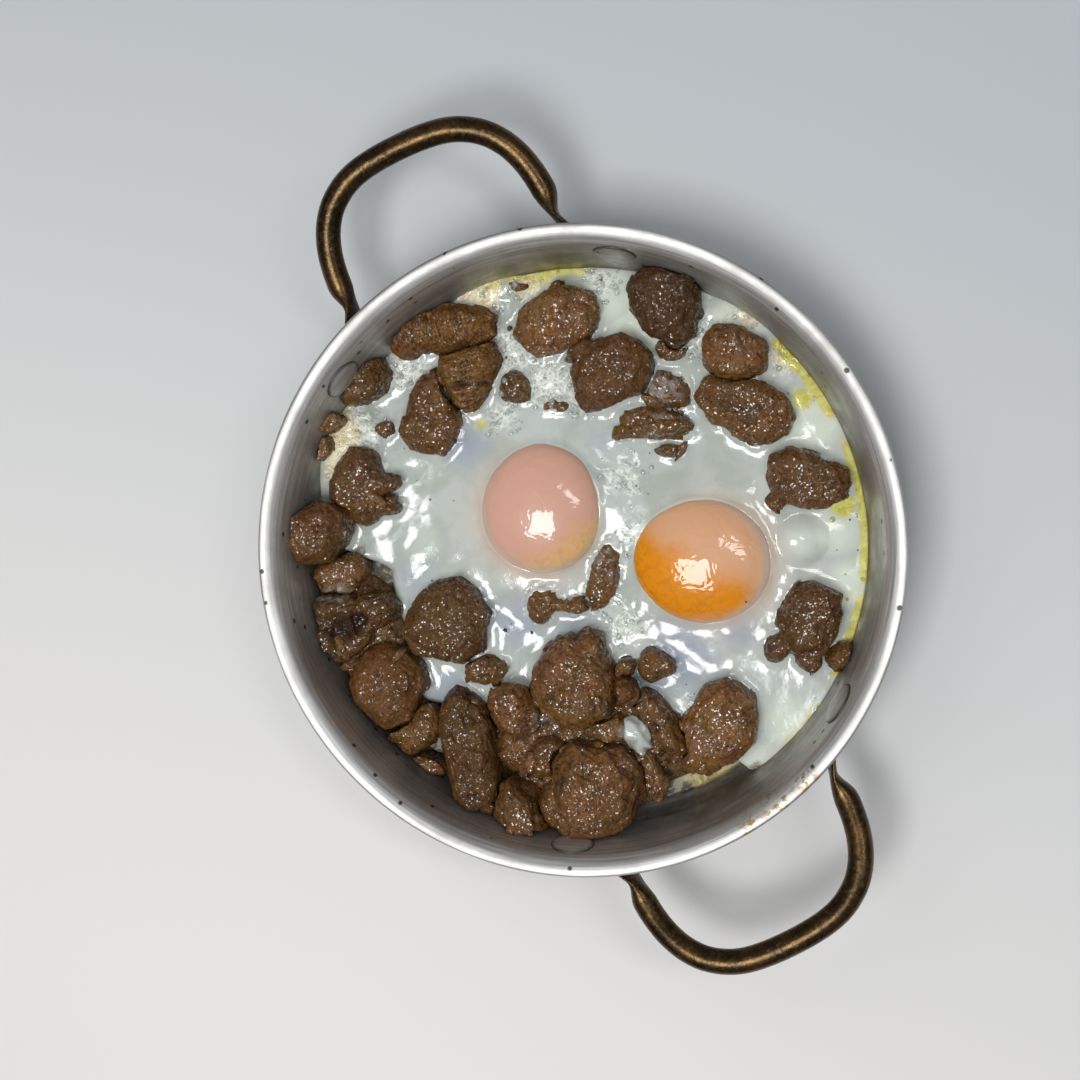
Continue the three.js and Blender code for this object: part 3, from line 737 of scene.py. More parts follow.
class DISH_OT_pan(bpy.types.Operator):
    """Spins the pan, with its rolled lip, and marks where it is stained and where its inner wall is darker"""

    bl_idname = "dish.make_pan"
    bl_label = "Pan"

    def execute(self, context):
        steps = context.scene.pan_sizes.steps
        edge = arc((LIP[0], RIM_HEIGHT - EDGE_RADIUS), EDGE_RADIUS, 90 * DEG, -90 * DEG, 6)
        outside = inner_profile(-WALL, 10)[::-1]
        bm = bmesh.new()
        spin_profile(bm, inner_profile(0, 12) + edge[1:-1] + outside, steps)
        mesh = mesh_from(bm, "spun_pan")
        places = layout_of(coordinates(mesh))
        radius = np.hypot(places[:, 0], places[:, 1])
        low = 1 - smooth(places[:, 2], 20, 30)
        inside = radius < inner_radius(places[:, 2]) + 0.2
        paint(mesh, "dirt", np.where(inside, 0.25 + 0.75 * low, 0.2))
        paint(mesh, "fat", near_spots(places, WALL_FAT))
        paint(mesh, "burnt", near_spots(places, RIM_BURNS))
        # Darker low on the inner wall, and most on one side.
        bearing = np.arctan2(places[:, 1], places[:, 0])
        darkening_share = 0.2 + 0.25 * np.maximum(0, np.cos(bearing - DARKEST_BEARING)) ** 2
        paint(mesh, "soot", np.where(inside, darkening_share * (1 - smooth(places[:, 2], 9, 24)), 0))
        finish(mesh, aluminium_material(context.scene.dish_colours), "aluminium", ["pan"])
        return {"FINISHED"}


# Both heads of a rivet and its shank.
HEAD_LIFT = 0.1  # the inner head's rim stands this far off the wall
OUTER_HEAD = 4.6
OUTER_RISE = 1.6
SHANK = 2.4
HEAD_BEVEL = 0.3
RIVET_DIRT = 0.3
RIVET_SEAM = 0.85  # how dark the seam round a head is


class DISH_OT_rivets(bpy.types.Operator):
    """Spins the rivets' low domed heads and sets them on the wall"""

    bl_idname = "dish.make_rivets"
    bl_label = "Rivets"

    def execute(self, context):
        sizes = context.scene.pan_sizes
        material = bpy.data.materials["spun aluminium"]
        for node in [f"rivet_{i}" for i in range(1, 5)]:
            seat, outward = self.seat(node)
            bm = bmesh.new()
            self.heads(bm, sizes)
            turn = outward.to_track_quat("Z", "Y").to_matrix().to_4x4()
            bmesh.ops.transform(bm, matrix=Matrix.Translation(seat) @ turn, verts=bm.verts[:])
            mesh = mesh_from(bm, f"domed_{node}")
            self.stain(mesh, seat, outward, sizes.head / MM)
            finish(mesh, material, "aluminium", [node])
        return {"FINISHED"}

    def seat(self, node):
        """Where a rivet sits on the inner wall, and the way out through the wall there."""
        low, top = (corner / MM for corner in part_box(node))
        bearing = math.atan2((low + top).y, (low + top).x)
        away = Vector((math.cos(bearing), math.sin(bearing), 0))
        up = Vector((0, 0, 1))
        seat = away * float(inner_radius(RIVET_HEIGHT)) + up * RIVET_HEIGHT
        return seat, away * math.cos(WALL_NORMAL) + up * math.sin(WALL_NORMAL)

    def heads(self, bm, sizes):
        """Both heads and the shank, along Z, which points out of the pan."""
        head, rise = sizes.head / MM, sizes.head_rise / MM
        reach = WALL + 2 * PAD_GAP + sizes.pad_thickness / MM
        dome = [i * 9 * DEG for i in range(1, 10)]
        profile = [(0, -rise - HEAD_LIFT)]
        profile += [(head * math.sin(a), -HEAD_LIFT - rise * math.cos(a)) for a in dome]
        profile += [(head, -HEAD_LIFT / 2), (head - HEAD_BEVEL, 0.0), (SHANK, 0.0)]
        profile += [(SHANK, reach), (OUTER_HEAD, reach)]
        dome = [i * 10 * DEG for i in range(1, 9)]
        profile += [(OUTER_HEAD * math.cos(a), reach + OUTER_RISE * math.sin(a)) for a in dome]
        profile += [(0, reach + OUTER_RISE)]
        spin_profile(bm, profile, 48)

    def stain(self, mesh, seat, outward, head):
        """Marks a rivet's grease, and the dark seam round its inner head."""
        points = coordinates(mesh)
        from_axis = np.linalg.norm(np.cross(points - np.array(seat), np.array(outward)), axis=1)
        paint(mesh, "dirt", np.full(len(points), RIVET_DIRT))
        paint(mesh, "soot", smooth(from_axis, 0.84 * head, 0.99 * head) * RIVET_SEAM)
        paint(mesh, "fat", near_spots(layout_of(points), WALL_FAT))
        paint(mesh, "burnt", np.zeros(len(points)))


# The handle's shape, as the CAD handles have it.
HANDLE_HALF_WIDTH = 32.0
HANDLE_START = 87.0
HANDLE_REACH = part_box("handle_back")[1].y / MM - ROD_RADIUS
GRIP_HEIGHT = high("handle_back") - ROD_RADIUS
SQUARENESS = 2.75
SKEW = 3.2 * DEG
PAD_START = 25.8 * DEG
PAD_END = 38 * DEG
PAD_LENGTH = 29.0
ROUNDING = 9.0


def handle_points(pad_thickness):
    """The middle of the rod from one foot's tip to the other, for a handle that reaches out along +Y."""
    radius = float(inner_radius(RIVET_HEIGHT)) + WALL + PAD_GAP + pad_thickness / 2
    foot = []
    for share in (1, 0.67, 0.33, 0):
        a = mix(PAD_START, PAD_END, share)
        foot.append(Vector((radius * math.sin(a), radius * math.cos(a), RIVET_HEIGHT)))
    bow = []
    for a in (turn * DEG for turn in (0, 8, 16, 26, 38, 52, 70, 90)):
        across = abs(math.cos(a)) ** (2 / SQUARENESS)
        out = math.sin(a) ** (2 / SQUARENESS)
        bow.append(
            Vector(
                (
                    HANDLE_HALF_WIDTH * across,
                    mix(HANDLE_START, HANDLE_REACH, out),
                    mix(RIVET_HEIGHT, GRIP_HEIGHT, out),
                )
            )
        )
    half = foot + bow
    return half + [Vector((-p.x, p.y, p.z)) for p in half[-2::-1]]


def smooth_line(points, steps):
    """A centripetal Catmull-Rom curve through points, in steps of even length."""
    ends = [2 * points[0] - points[1], *points, 2 * points[-1] - points[-2]]
    between = 24
    fine = []
    for p0, p1, p2, p3 in zip(ends, ends[1:], ends[2:], ends[3:]):
        t = [0.0]
        for a, b in ((p0, p1), (p1, p2), (p2, p3)):
            t.append(t[-1] + max((b - a).length, 1e-6) ** 0.5)
        for i in range(between):
            s = mix(t[1], t[2], i / between)
            a1 = p0 * ((t[1] - s) / (t[1] - t[0])) + p1 * ((s - t[0]) / (t[1] - t[0]))
            a2 = p1 * ((t[2] - s) / (t[2] - t[1])) + p2 * ((s - t[1]) / (t[2] - t[1]))
            a3 = p2 * ((t[3] - s) / (t[3] - t[2])) + p3 * ((s - t[2]) / (t[3] - t[2]))
            b1 = a1 * ((t[2] - s) / (t[2] - t[0])) + a2 * ((s - t[0]) / (t[2] - t[0]))
            b2 = a2 * ((t[3] - s) / (t[3] - t[1])) + a3 * ((s - t[1]) / (t[3] - t[1]))
            fine.append(b1 * ((t[2] - s) / (t[2] - t[1])) + b2 * ((s - t[1]) / (t[2] - t[1])))
    fine.append(points[-1])
    gone = np.cumsum([0.0] + [(b - a).length for a, b in zip(fine, fine[1:])])
    table = np.array([tuple(p) for p in fine])
    even = np.linspace(0, gone[-1], steps + 1)
    line = np.stack([np.interp(even, gone, table[:, k]) for k in range(3)], axis=1)
    return [Vector(p) for p in line], even


class DISH_OT_handles(bpy.types.Operator):
    """Draws out the two rod handles, from their flat riveted feet to the round bow"""

    bl_idname = "dish.make_handles"
    bl_label = "Handles"

    def execute(self, context):
        material = brass_material(context.scene.dish_colours)
        for node, turn in (("handle_back", -SKEW), ("handle_front", math.pi + SKEW)):
            bm = bmesh.new()
            self.rod(bm, context.scene.pan_sizes)
            bmesh.ops.rotate(bm, verts=bm.verts[:], cent=(0, 0, 0), matrix=Matrix.Rotation(turn, 3, "Z"))
            finish(mesh_from(bm, f"brass_{node}"), material, "old_brass", [node])
        return {"FINISHED"}

    def rod(self, bm, sizes):
        """One rod, as a ring of vertices that is extruded along the handle's line."""
        steps, sides = 150, 24
        line, gone = smooth_line(handle_points(sizes.pad_thickness / MM), steps)
        places = [self.section(line, gone, i, sizes) for i in range(steps + 1)]
        ring = bmesh.ops.create_circle(bm, segments=sides, radius=1)["verts"]
        bmesh.ops.transform(bm, matrix=places[0], verts=ring)
        edges = list({edge for corner in ring for edge in corner.link_edges})
        bm.faces.new(ring)
        for before, after in zip(places, places[1:]):
            made = bmesh.ops.extrude_edge_only(bm, edges=edges)["geom"]
            ring = [item for item in made if isinstance(item, bmesh.types.BMVert)]
            edges = [
                item
                for item in made
                if isinstance(item, bmesh.types.BMEdge) and all(v in set(ring) for v in item.verts)
            ]
            bmesh.ops.transform(bm, matrix=after @ before.inverted(), verts=ring)
        bmesh.ops.holes_fill(bm, edges=edges, sides=sides)
        bmesh.ops.recalc_face_normals(bm, faces=bm.faces[:])

    def section(self, line, gone, i, sizes):
        """The matrix that takes a unit circle to the rod's section at step i."""
        from_tip = min(gone[i], gone[-1] - gone[i])
        round_share = float(smooth(from_tip, PAD_LENGTH, PAD_LENGTH + ROUNDING))
        pad_high = sizes.pad_height / MM / 2
        tip = min(1.0, (from_tip + 1) / pad_high)
        thick = mix(sizes.pad_thickness / MM / 2, sizes.rod / MM, round_share)
        tall = mix(pad_high, sizes.rod / MM, round_share) * math.sqrt(1 - (1 - tip) ** 2)
        before, after = line[max(0, i - 1)], line[min(len(line) - 1, i + 1)]
        along = (after - before).normalized()
        outward = Vector((line[i].x, line[i].y, 0)).normalized()
        up = Vector((0, 0, math.cos(WALL_NORMAL))) - outward * math.sin(WALL_NORMAL)
        up = up.lerp(Vector((0, 0, 1)), round_share)
        up = (up - along * up.dot(along)).normalized()
        across = along.cross(up)
        columns = Matrix((across * thick, up * tall, along)).transposed().to_4x4()
        return Matrix.Translation(line[i]) @ columns


# ------------------------------------------------------------------ what the food's pieces share


def search_tree(names):
    """The pieces whose names start so, as one search tree in the frame, in metres."""
    corners, faces = [], []
    for piece in bpy.data.objects:
        if piece.name.startswith(tuple(names)):
            start = len(corners)
            corners.extend(v.co for v in piece.data.vertices)
            faces.extend([start + i for i in face.vertices] for face in piece.data.polygons)
    return BVHTree.FromPolygons(corners, faces)


def gaps_to(tree, points):
    """How far each frame point (an array, in mm) is from the nearest thing, minus inside it."""
    gaps = np.empty(len(points))
    for i, point in enumerate(points):
        place = Vector(point) * MM
        nearest, normal, _, far = tree.find_nearest(place)
        inside = (place - nearest).dot(normal) < 0
        gaps[i] = -far / MM if inside else far / MM
    return gaps


def disc(name, steps):
    """A sheet with even faces whose outline is the unit circle, and where its vertices are."""
    bm = bmesh.new()
    bmesh.ops.create_grid(bm, x_segments=steps, y_segments=steps, size=1)
    for corner in bm.verts:
        u, v = corner.co.x, corner.co.y
        corner.co.x = u * math.sqrt(1 - v * v / 2)
        corner.co.y = v * math.sqrt(1 - u * u / 2)
    mesh = mesh_from(bm, name)
    return mesh, coordinates(mesh)


def close_sheet(mesh):
    """Draws the open edge of a sheet down to the pan's floor, and closes it there."""
    bm = bmesh.new()
    bm.from_mesh(mesh)
    rim = [edge for edge in bm.edges if edge.is_boundary]
    made = bmesh.ops.extrude_edge_only(bm, edges=rim)["geom"]
    foot = [item for item in made if isinstance(item, bmesh.types.BMVert)]
    for corner in foot:
        far = math.hypot(corner.co.x, corner.co.y)
        share = min(1.0, FLOOR_RADIUS / far)
        corner.co = Vector((corner.co.x * share, corner.co.y * share, WALL + 0.05))
    edges = [edge for edge in bm.edges if edge.is_boundary]
    bmesh.ops.edgeloop_fill(bm, edges=edges)
    bmesh.ops.recalc_face_normals(bm, faces=bm.faces[:])
    for face in bm.faces:
        face.smooth = True
    bm.to_mesh(mesh)
    bm.free()


def dropped(tree, x, y):
    """Where something that falls at a layout place comes to lie, and the surface's normal there."""
    start = laid(x, y, 60) * MM
    place, normal, _, _ = tree.ray_cast(start, Vector((0, 0, -1)))
    return (place / MM, normal) if place else (None, None)


# ------------------------------------------------------------------ the meat

# What sets some chunks apart: fibre (times the usual), its bearing in degrees in the layout,
# tone (0 olive, 1 red), shade (how dark), fat, combed (how plainly fibres show), dry (how little
# it glints) and relief (times the usual).
CHUNKS = {
    "meat_back_bar": {"fibre": 1.5, "bearing": 104, "tone": 0.6, "shade": 0.08, "combed": 1.0, "dry": 0.9},
    "meat_back_folded": {
        "fibre": 2.2, "bearing": 12, "tone": 0.2, "shade": 0.08, "combed": 1.0, "dry": 0.9
    },
    "meat_back_rough": {"bearing": 80, "tone": 0.7, "shade": 0.0, "fat": 0.25},
    "meat_back_tall": {"bearing": 95, "tone": 0.3, "shade": 0.8, "dry": 0.5},
    "meat_back_corner": {"fibre": 1.1, "bearing": 100, "tone": 0.1, "shade": 0.3, "dry": 0.4},
    "meat_back_middle": {"bearing": 60, "tone": 0.8, "shade": 0.5, "dry": 0.5},
    "meat_back_broad": {"bearing": -32, "tone": 0.5, "shade": 0.25, "dry": 0.3},
    "meat_back_square": {"tone": 0.8, "shade": 0.08, "fat": 0.2},
    "meat_back_sunk": {"tone": 0.7, "relief": 0.6},
    "meat_back_crumb_e": {"tone": 0.9, "fat": 0.4},
    "meat_back_crumb_f": {"tone": 0.9, "fat": 0.4},
    "meat_middle_sunk": {"tone": 0.6, "relief": 0.6},
    "meat_right_round": {"tone": 0.7, "shade": 0.58},
    "meat_right_wedge": {"tone": 0.8, "shade": 0.42},
    "meat_front_long": {
        "fibre": 1.7, "bearing": -70, "tone": 0.0, "shade": 0.58, "combed": 0.7, "dry": 0.8
    },
    "meat_front_block": {"bearing": -75, "tone": 0.3, "combed": 0.6},
    "meat_front_large": {
        "fibre": 1.4, "bearing": 100, "tone": 0.75, "shade": 0.22, "combed": 0.6, "dry": 0.4
    },
    "meat_front_slab": {"fibre": 0.6, "bearing": 60, "tone": 0.8, "shade": 0.0, "fat": 0.25, "relief": 0.7},
    "meat_front_tall": {"tone": 0.6, "shade": 0.2, "fat": 0.2},
    "meat_front_gristle": {"fibre": 1.6, "bearing": -65, "tone": 0.6, "fat": 0.5, "combed": 1.0},
    "meat_front_curl": {"bearing": -50, "tone": 1.0, "dry": 0.8},
    "meat_left_hollow": {"fibre": 1.2, "bearing": 20, "tone": 0.15, "shade": 0.55, "combed": 0.5},
    "meat_left_large": {"tone": 0.4, "shade": 0.5, "dry": 0.3},
    "meat_left_round": {"fibre": 0.5, "bearing": 60, "tone": 0.95, "shade": 0.4, "dry": 0.8, "relief": 0.6},
    "meat_left_shred": {"fibre": 1.5, "bearing": -15, "tone": 0.8, "fat": 0.3},
    "meat_left_flat": {"fibre": 0.8, "bearing": 30, "tone": 0.4, "fat": 0.2},
    "meat_left_fork": {"fibre": 0.7, "bearing": 10, "tone": 0.4, "shade": 0.42, "relief": 0.5},
    "meat_left_knot": {"tone": 0.7, "shade": 0.35},
}
# hollow is painted shade, in the creases and carved hollows of the meat.
LOOKS = ("hollow", "film", "fat", "tone", "shade", "combed", "dry")

# Where egg white lies thinly over meat, in the layout: x, y, z and radius.
FILMS = [
    (23, 46, 13, 8),
    (6.5, -4, 13, 6),
    (-10, -49, 16, 5),
    (-73, -14.5, 14, 6),
    (-78, -16, 13, 5),
    (22, 34, 13, 7),
    (14, -52, 15, 5),
]

FACET_SEED = 4  # which way the flat faces of the chunks are tilted

# A cut of meat has a flatter top and steeper sides than the rounded solid, above this height.
SHOULDER = 8.0
FLATTENING = 0.62

# How large the features of the meat's relief are.
LUMP = 9.5
FACE = 7.5
CREASE = 6.5
BUNDLE_LENGTH = 14.0
BUNDLE_WIDTH = 2.6
KNOB = 1.3


def evenly_remeshed(source, voxel):
    """A copy of a CAD mesh, merged, remeshed with even faces and rounded off, in millimetres."""
    bm = bmesh.new()
    bm.from_mesh(source)
    bmesh.ops.remove_doubles(bm, verts=bm.verts[:], dist=1e-6)
    bmesh.ops.scale(bm, vec=(1 / MM,) * 3, verts=bm.verts[:])
    rough = bpy.data.meshes.new("rough")
    bm.to_mesh(rough)
    bm.free()
    holder = bpy.data.objects.new("rough", rough)
    bpy.context.scene.collection.objects.link(holder)
    remesh = holder.modifiers.new("remesh", "REMESH")
    remesh.mode = "VOXEL"
    remesh.voxel_size = voxel
    relax = holder.modifiers.new("relax", "SMOOTH")
    relax.factor = 0.7
    relax.iterations = 5
    bpy.context.view_layer.update()
    seen = holder.evaluated_get(bpy.context.evaluated_depsgraph_get())
    made = bpy.data.meshes.new_from_object(seen)
    bpy.data.objects.remove(holder)
    bpy.data.meshes.remove(rough)
    return made


def meat_copy(node, voxel):
    """A chunk's CAD solid with even faces, in the same box, with its top flattened."""
    made = evenly_remeshed(frame["nodes"][node].data, voxel)
    points = coordinates(made)
    low, top = (np.array(corner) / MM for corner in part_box(node))
    share = (points - points.min(0)) / (points.max(0) - points.min(0))
    points = low + share * (top - low)
    above = max(top[2] - SHOULDER, 1)
    risen = np.clip((points[:, 2] - SHOULDER) / above, 0, 1)
    flatter = SHOULDER + (top[2] - SHOULDER) * risen**FLATTENING
    points[:, 2] = np.where(risen > 0, flatter, points[:, 2])
    set_coordinates(made, points)
    return made


def relief(point, along, seed, sizes, looks):
    """How far a chunk's skin stands out at a point, and how deep it lies in a crease there."""
    shift = Vector((seed * 13.1, seed * 7.7, seed * 3.3))
    lump = noise.fractal(point / LUMP + shift, 0.8, 2.1, 2)
    place = point / FACE + shift
    middle = noise.voronoi(place)[1][0]
    face = (place - middle).dot(noise.noise_vector(middle * 3.1))
    crease = 1 - min(1.0, abs(noise.noise(point / CREASE - shift)) * 6.0)
    bundle = Vector((along.x / BUNDLE_LENGTH, along.y / BUNDLE_WIDTH, along.z / BUNDLE_WIDTH)) + shift
    thread = noise.fractal(bundle, 0.6, 2.2, 3)
    tear = max(0.0, 1 - 7.0 * abs(noise.noise(bundle * 0.5 - shift)))
    knob = noise.fractal(point / KNOB + shift, 0.6, 2.1, 2)
    out = looks["relief"] * (sizes["crag"] * lump + sizes["facet"] * face - sizes["crease"] * crease**2)
    out += looks["fibre"] * sizes["fibre"] * (thread - 1.3 * tear**2) + sizes["knob"] * knob
    return out, max(crease**2, 0.8 * tear * looks["fibre"])


def paint_meat(mesh, alongs, looks):
    """What the meat's material reads: its looks, one number or one for each vertex, and its fibres."""
    for name in LOOKS:
        paint(mesh, name, np.full(len(alongs), looks[name]))
    fibre = mesh.attributes.new("fibre", "FLOAT_VECTOR", "POINT")
    fibre.data.foreach_set("vector", (alongs * MM).astype(np.float32).ravel())


# Deep hollows carved into the chunks and painted dark as shade, in the layout: x, y, z and radius.
CAVES = [(-71, -24, 17, 6.5), (-66, -22, 17, 5.0)]
CAVE_DEPTH = 3.2


def chunk_looks(node, index):
    """What a chunk looks like: the usual, spread a little by its index, and what sets it apart."""
    looks = {
        "fibre": 1.0,
        "bearing": 47 * index,
        "tone": (index * 0.37) % 1,
        "shade": 0.08 + 0.25 * ((index * 0.61) % 1),
        "fat": 0.1,
        "combed": 0.25,
        "dry": 0.15,
        "relief": 1.0,
    }
    looks.update(CHUNKS.get(node, {}))
    return looks


def meat_piece(node, index, sizes, material):
    """One chunk, with its lumps, flat faces, creases, fibres and hollows."""
    looks = chunk_looks(node, index)
    low, top = (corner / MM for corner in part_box(node))
    span = max(top - low)
    mesh = meat_copy(node, sizes["voxel"] * min(1.0, 0.45 + span / 28))
    points = coordinates(mesh)
    outward = normals(mesh)
    turn = Matrix.Rotation(-(looks["bearing"] * DEG + FOOD_TURN), 3, "Z") @ Matrix.Rotation(0.25, 3, "X")
    alongs = points @ np.array(turn).T
    moved = np.empty(len(points))
    creases = np.empty(len(points))
    for i, (point, along) in enumerate(zip(points, alongs)):
        moved[i], creases[i] = relief(Vector(point), Vector(along), index + 1, sizes, looks)
    places = layout_of(points)
    cave = near_spots(places, CAVES)
    # What stands on the pan or in the white stays as it was, so the feet of the chunks keep their places.
    free = smooth(points[:, 2], WALL + 1, WALL + 5)
    small = min(1.0, 0.35 + span / 24)  # a crumb has a fainter relief
    set_coordinates(mesh, points + outward * ((moved * small - CAVE_DEPTH * cave) * free)[:, None])
    for face in mesh.polygons:
        face.use_smooth = True
    # Painted shade: darker where the skin lies deep in a crease, and in the carved hollows.
    hollow = smooth(creases, 0.4, 1.0) * smooth(-moved, 0.0, 1.0)
    looks["hollow"] = np.maximum(hollow, np.minimum(1, 1.6 * cave))
    looks["film"] = near_spots(places, FILMS)
    looks["dry"] = np.maximum(looks["dry"], np.minimum(1, 2 * cave))
    paint_meat(mesh, alongs, looks)
    mesh.name = node.replace("meat_", "kavurma_")
    return finish(mesh, material, "meat", [node])


# Mashed meat that fills the heap between the chunks, in the layout: x, y, half length, half width,
# bearing of the length in degrees, and height of its middle.
BEDS = {
    "front": (0, -58, 39, 21, 5, 13.0),
    "left": (-67, -30, 33, 15, -55, 11.0),
}
BED_SEED = 60


def mashed_meat(name, sizes, material):
    """A low craggy bed of shredded meat that the chunks of a heap are set in."""
    x, y, half_length, half_width, bearing, height = BEDS[name]
    mesh, unit = disc(f"mashed_{name}", 150)
    far = np.hypot(unit[:, 0], unit[:, 1])
    around = np.arctan2(unit[:, 1], unit[:, 0])
    edge = 1 + 0.10 * np.sin(3 * around + x) + 0.07 * np.sin(7 * around + y)
    flat = unit[:, :2] * edge[:, None] * np.array((half_length, half_width))
    turn = bearing * DEG + FOOD_TURN
    middle = laid(x, y)
    points = np.stack(
        [
            middle.x + flat[:, 0] * math.cos(turn) - flat[:, 1] * math.sin(turn),
            middle.y + flat[:, 0] * math.sin(turn) + flat[:, 1] * math.cos(turn),
            WALL + 0.5 + (height - WALL) * (1 - far**4),
        ],
        axis=1,
    )
    reach = np.hypot(points[:, 0], points[:, 1])
    inside = np.minimum(1, (inner_radius(points[:, 2]) - 0.3) / np.maximum(reach, 1e-6))
    points[:, :2] *= inside[:, None]
    alongs = points.copy()
    creases = np.empty(len(points))
    looks = {"relief": 1.3, "fibre": 1.6, "fat": 0.3, "tone": 0.3, "shade": 0.25, "combed": 0.4, "dry": 0.1}
    for i, point in enumerate(points):
        out, creases[i] = relief(Vector(point), Vector(point), BED_SEED, sizes, looks)
        points[i, 2] += out * (1 - far[i] ** 6)
    set_coordinates(mesh, points)
    # Painted shade in the bed's creases.
    looks["hollow"] = smooth(creases, 0.4, 1.0) * 0.8
    looks["film"] = near_spots(layout_of(points), FILMS) * (name == "front")
    paint_meat(mesh, alongs, looks)
    close_sheet(mesh)
    finish(mesh, material, "meat")


# Where shreds of meat have come off, in the layout: x, y, radius of the patch, and how many.
SHREDS = [
    (0, -58, 34, 90),
    (-62, -34, 26, 60),
    (24, 34, 12, 16),
    (-7, -24, 3, 5),
    (-70, 24, 8, 10),
    (36, -64, 8, 12),
    (60, 50, 8, 6),
    (30, 36, 16, 14),
    (-60, 13, 4, 9),
]
LOWEST_SHRED = 6
HIGHEST_SHRED = 17


def shreds(material):
    """Small torn shreds and crumbs that lie on the heap and round its foot."""
    draw = random.Random(3)
    tree = search_tree(("kavurma_", "mashed_"))
    bm = bmesh.new()
    for x, y, radius, count in SHREDS:
        for _ in range(count):
            far, bearing = radius * math.sqrt(draw.random()), 2 * math.pi * draw.random()
            place, normal = dropped(tree, x + far * math.cos(bearing), y + far * math.sin(bearing))
            size, spin = 0.7 + 1.3 * draw.random() ** 2, draw.random() * math.pi
            if place is None or not LOWEST_SHRED <= place.z <= HIGHEST_SHRED:
                continue
            bit = bmesh.ops.create_icosphere(bm, subdivisions=3, radius=1)["verts"]
            shift = Vector((x, y, far))
            for corner in bit:
                corner.co *= 1 + 0.5 * noise.noise(corner.co * 1.6 + shift)
            stretch = Matrix.Diagonal((size * (1.2 + draw.random()), size, 0.6 * size, 1))
            turn = normal.to_track_quat("Z", "Y").to_matrix().to_4x4() @ Matrix.Rotation(spin, 4, "Z")
            bmesh.ops.transform(bm, matrix=Matrix.Translation(place) @ turn @ stretch, verts=bit)
    mesh = mesh_from(bm, "meat_shreds")
    # hollow gives the shreds a little painted shade all over.
    looks = {"hollow": 0.1, "film": 0, "fat": 0.35, "tone": 0.5, "shade": 0.15, "combed": 0.3, "dry": 0}
    paint_meat(mesh, coordinates(mesh), looks)
    finish(mesh, material, "meat")


class DISH_OT_meat(bpy.types.Operator):
    """Turns each CAD chunk into a craggy, fibrous piece of braised meat"""

    bl_idname = "dish.make_meat"
    bl_label = "Meat"

    def execute(self, context):
        noise.seed_set(FACET_SEED)
        group = context.scene.meat_sizes
        keys = ("voxel", "crag", "facet", "crease", "fibre", "knob")
        sizes = {key: getattr(group, key) / MM for key in keys}
        material = meat_material(context.scene.dish_colours)
        nodes = sorted(name for name in frame["nodes"] if name.startswith("meat_"))
        for index, node in enumerate(nodes):
            meat_piece(node, index, sizes, material)
        for name in BEDS:
            mashed_meat(name, sizes, material)
        shreds(material)
        return {"FINISHED"}


# ------------------------------------------------------------------ the eggs

# Each yolk as the CAD has it: its middle in the layout, its length, width and depth, and the bearing
# of its length in degrees in the layout.
YOLKS = {"yolk_left": (-12.0, 11.4), "yolk_right": (34.3, -3.0)}
YOLK_SIZES = {"yolk_left": (37.4, 35.4, 15.5), "yolk_right": (38.8, 36.2, 15.0)}
YOLK_TURNS = {"yolk_left": 80, "yolk_right": -12}

# The way, in the layout, to the side where each yolk's outline is blurred, and between which heights.
BLUR = {"yolk_left": (-0.6, -0.8), "yolk_right": (0.97, -0.1)}
SKIRT_LOW = 12.0
SKIRT_HIGH = 17.0
FILM_FADE = 0.45  # half of the film's soft edge, as a share of the yolk's half length

MOUND_RADIUS = 27.0
MOUND_SLOPE = 7.0
WALL_STOP = 80.0

# The white's swells in the layout: x, y, radius and rise.
SWELLS = [
    (62.5, 3, 7.5, 2.4),
    (29.5, -41.5, 6, 1.6),
    (-76, 31, 17, 6),
    (-30, 76, 13, 3.5),
    (47, 67, 12, 3),
]

# Where the white lies lower over meat that is nearly covered: x, y, radius and drop.
DIPS = [
    (7, -5, 11, 3.5),
    (24, 34, 14, 2.3),
    (-4, -19, 9, 1.8),
    (-12, -30, 10, 1.6),
    (26, -26, 11, 1.6),
]

STILL = [(56, -46, 20), (-49, 10, 10)]  # where the white lies flatter, in the layout: x, y and radius

# The bay in the white where the heap lies: its bearing, half of its width, and how soft its two ends are.
BAY_MIDDLE = 240 * DEG
BAY_HALF = 52 * DEG
BAY_EDGE = 14 * DEG
FAR_BAY_HALF = 58 * DEG  # on the side of the front slab, where the white ends in a round lobe
FAR_BAY_EDGE = 14 * DEG
BAY = 30.0
INLET = 7.5  # thin white that runs into the heap, at this bearing
INLET_BEARING = 223 * DEG
INLET_HALF = 7 * DEG
WHITE_REACH = 90.0

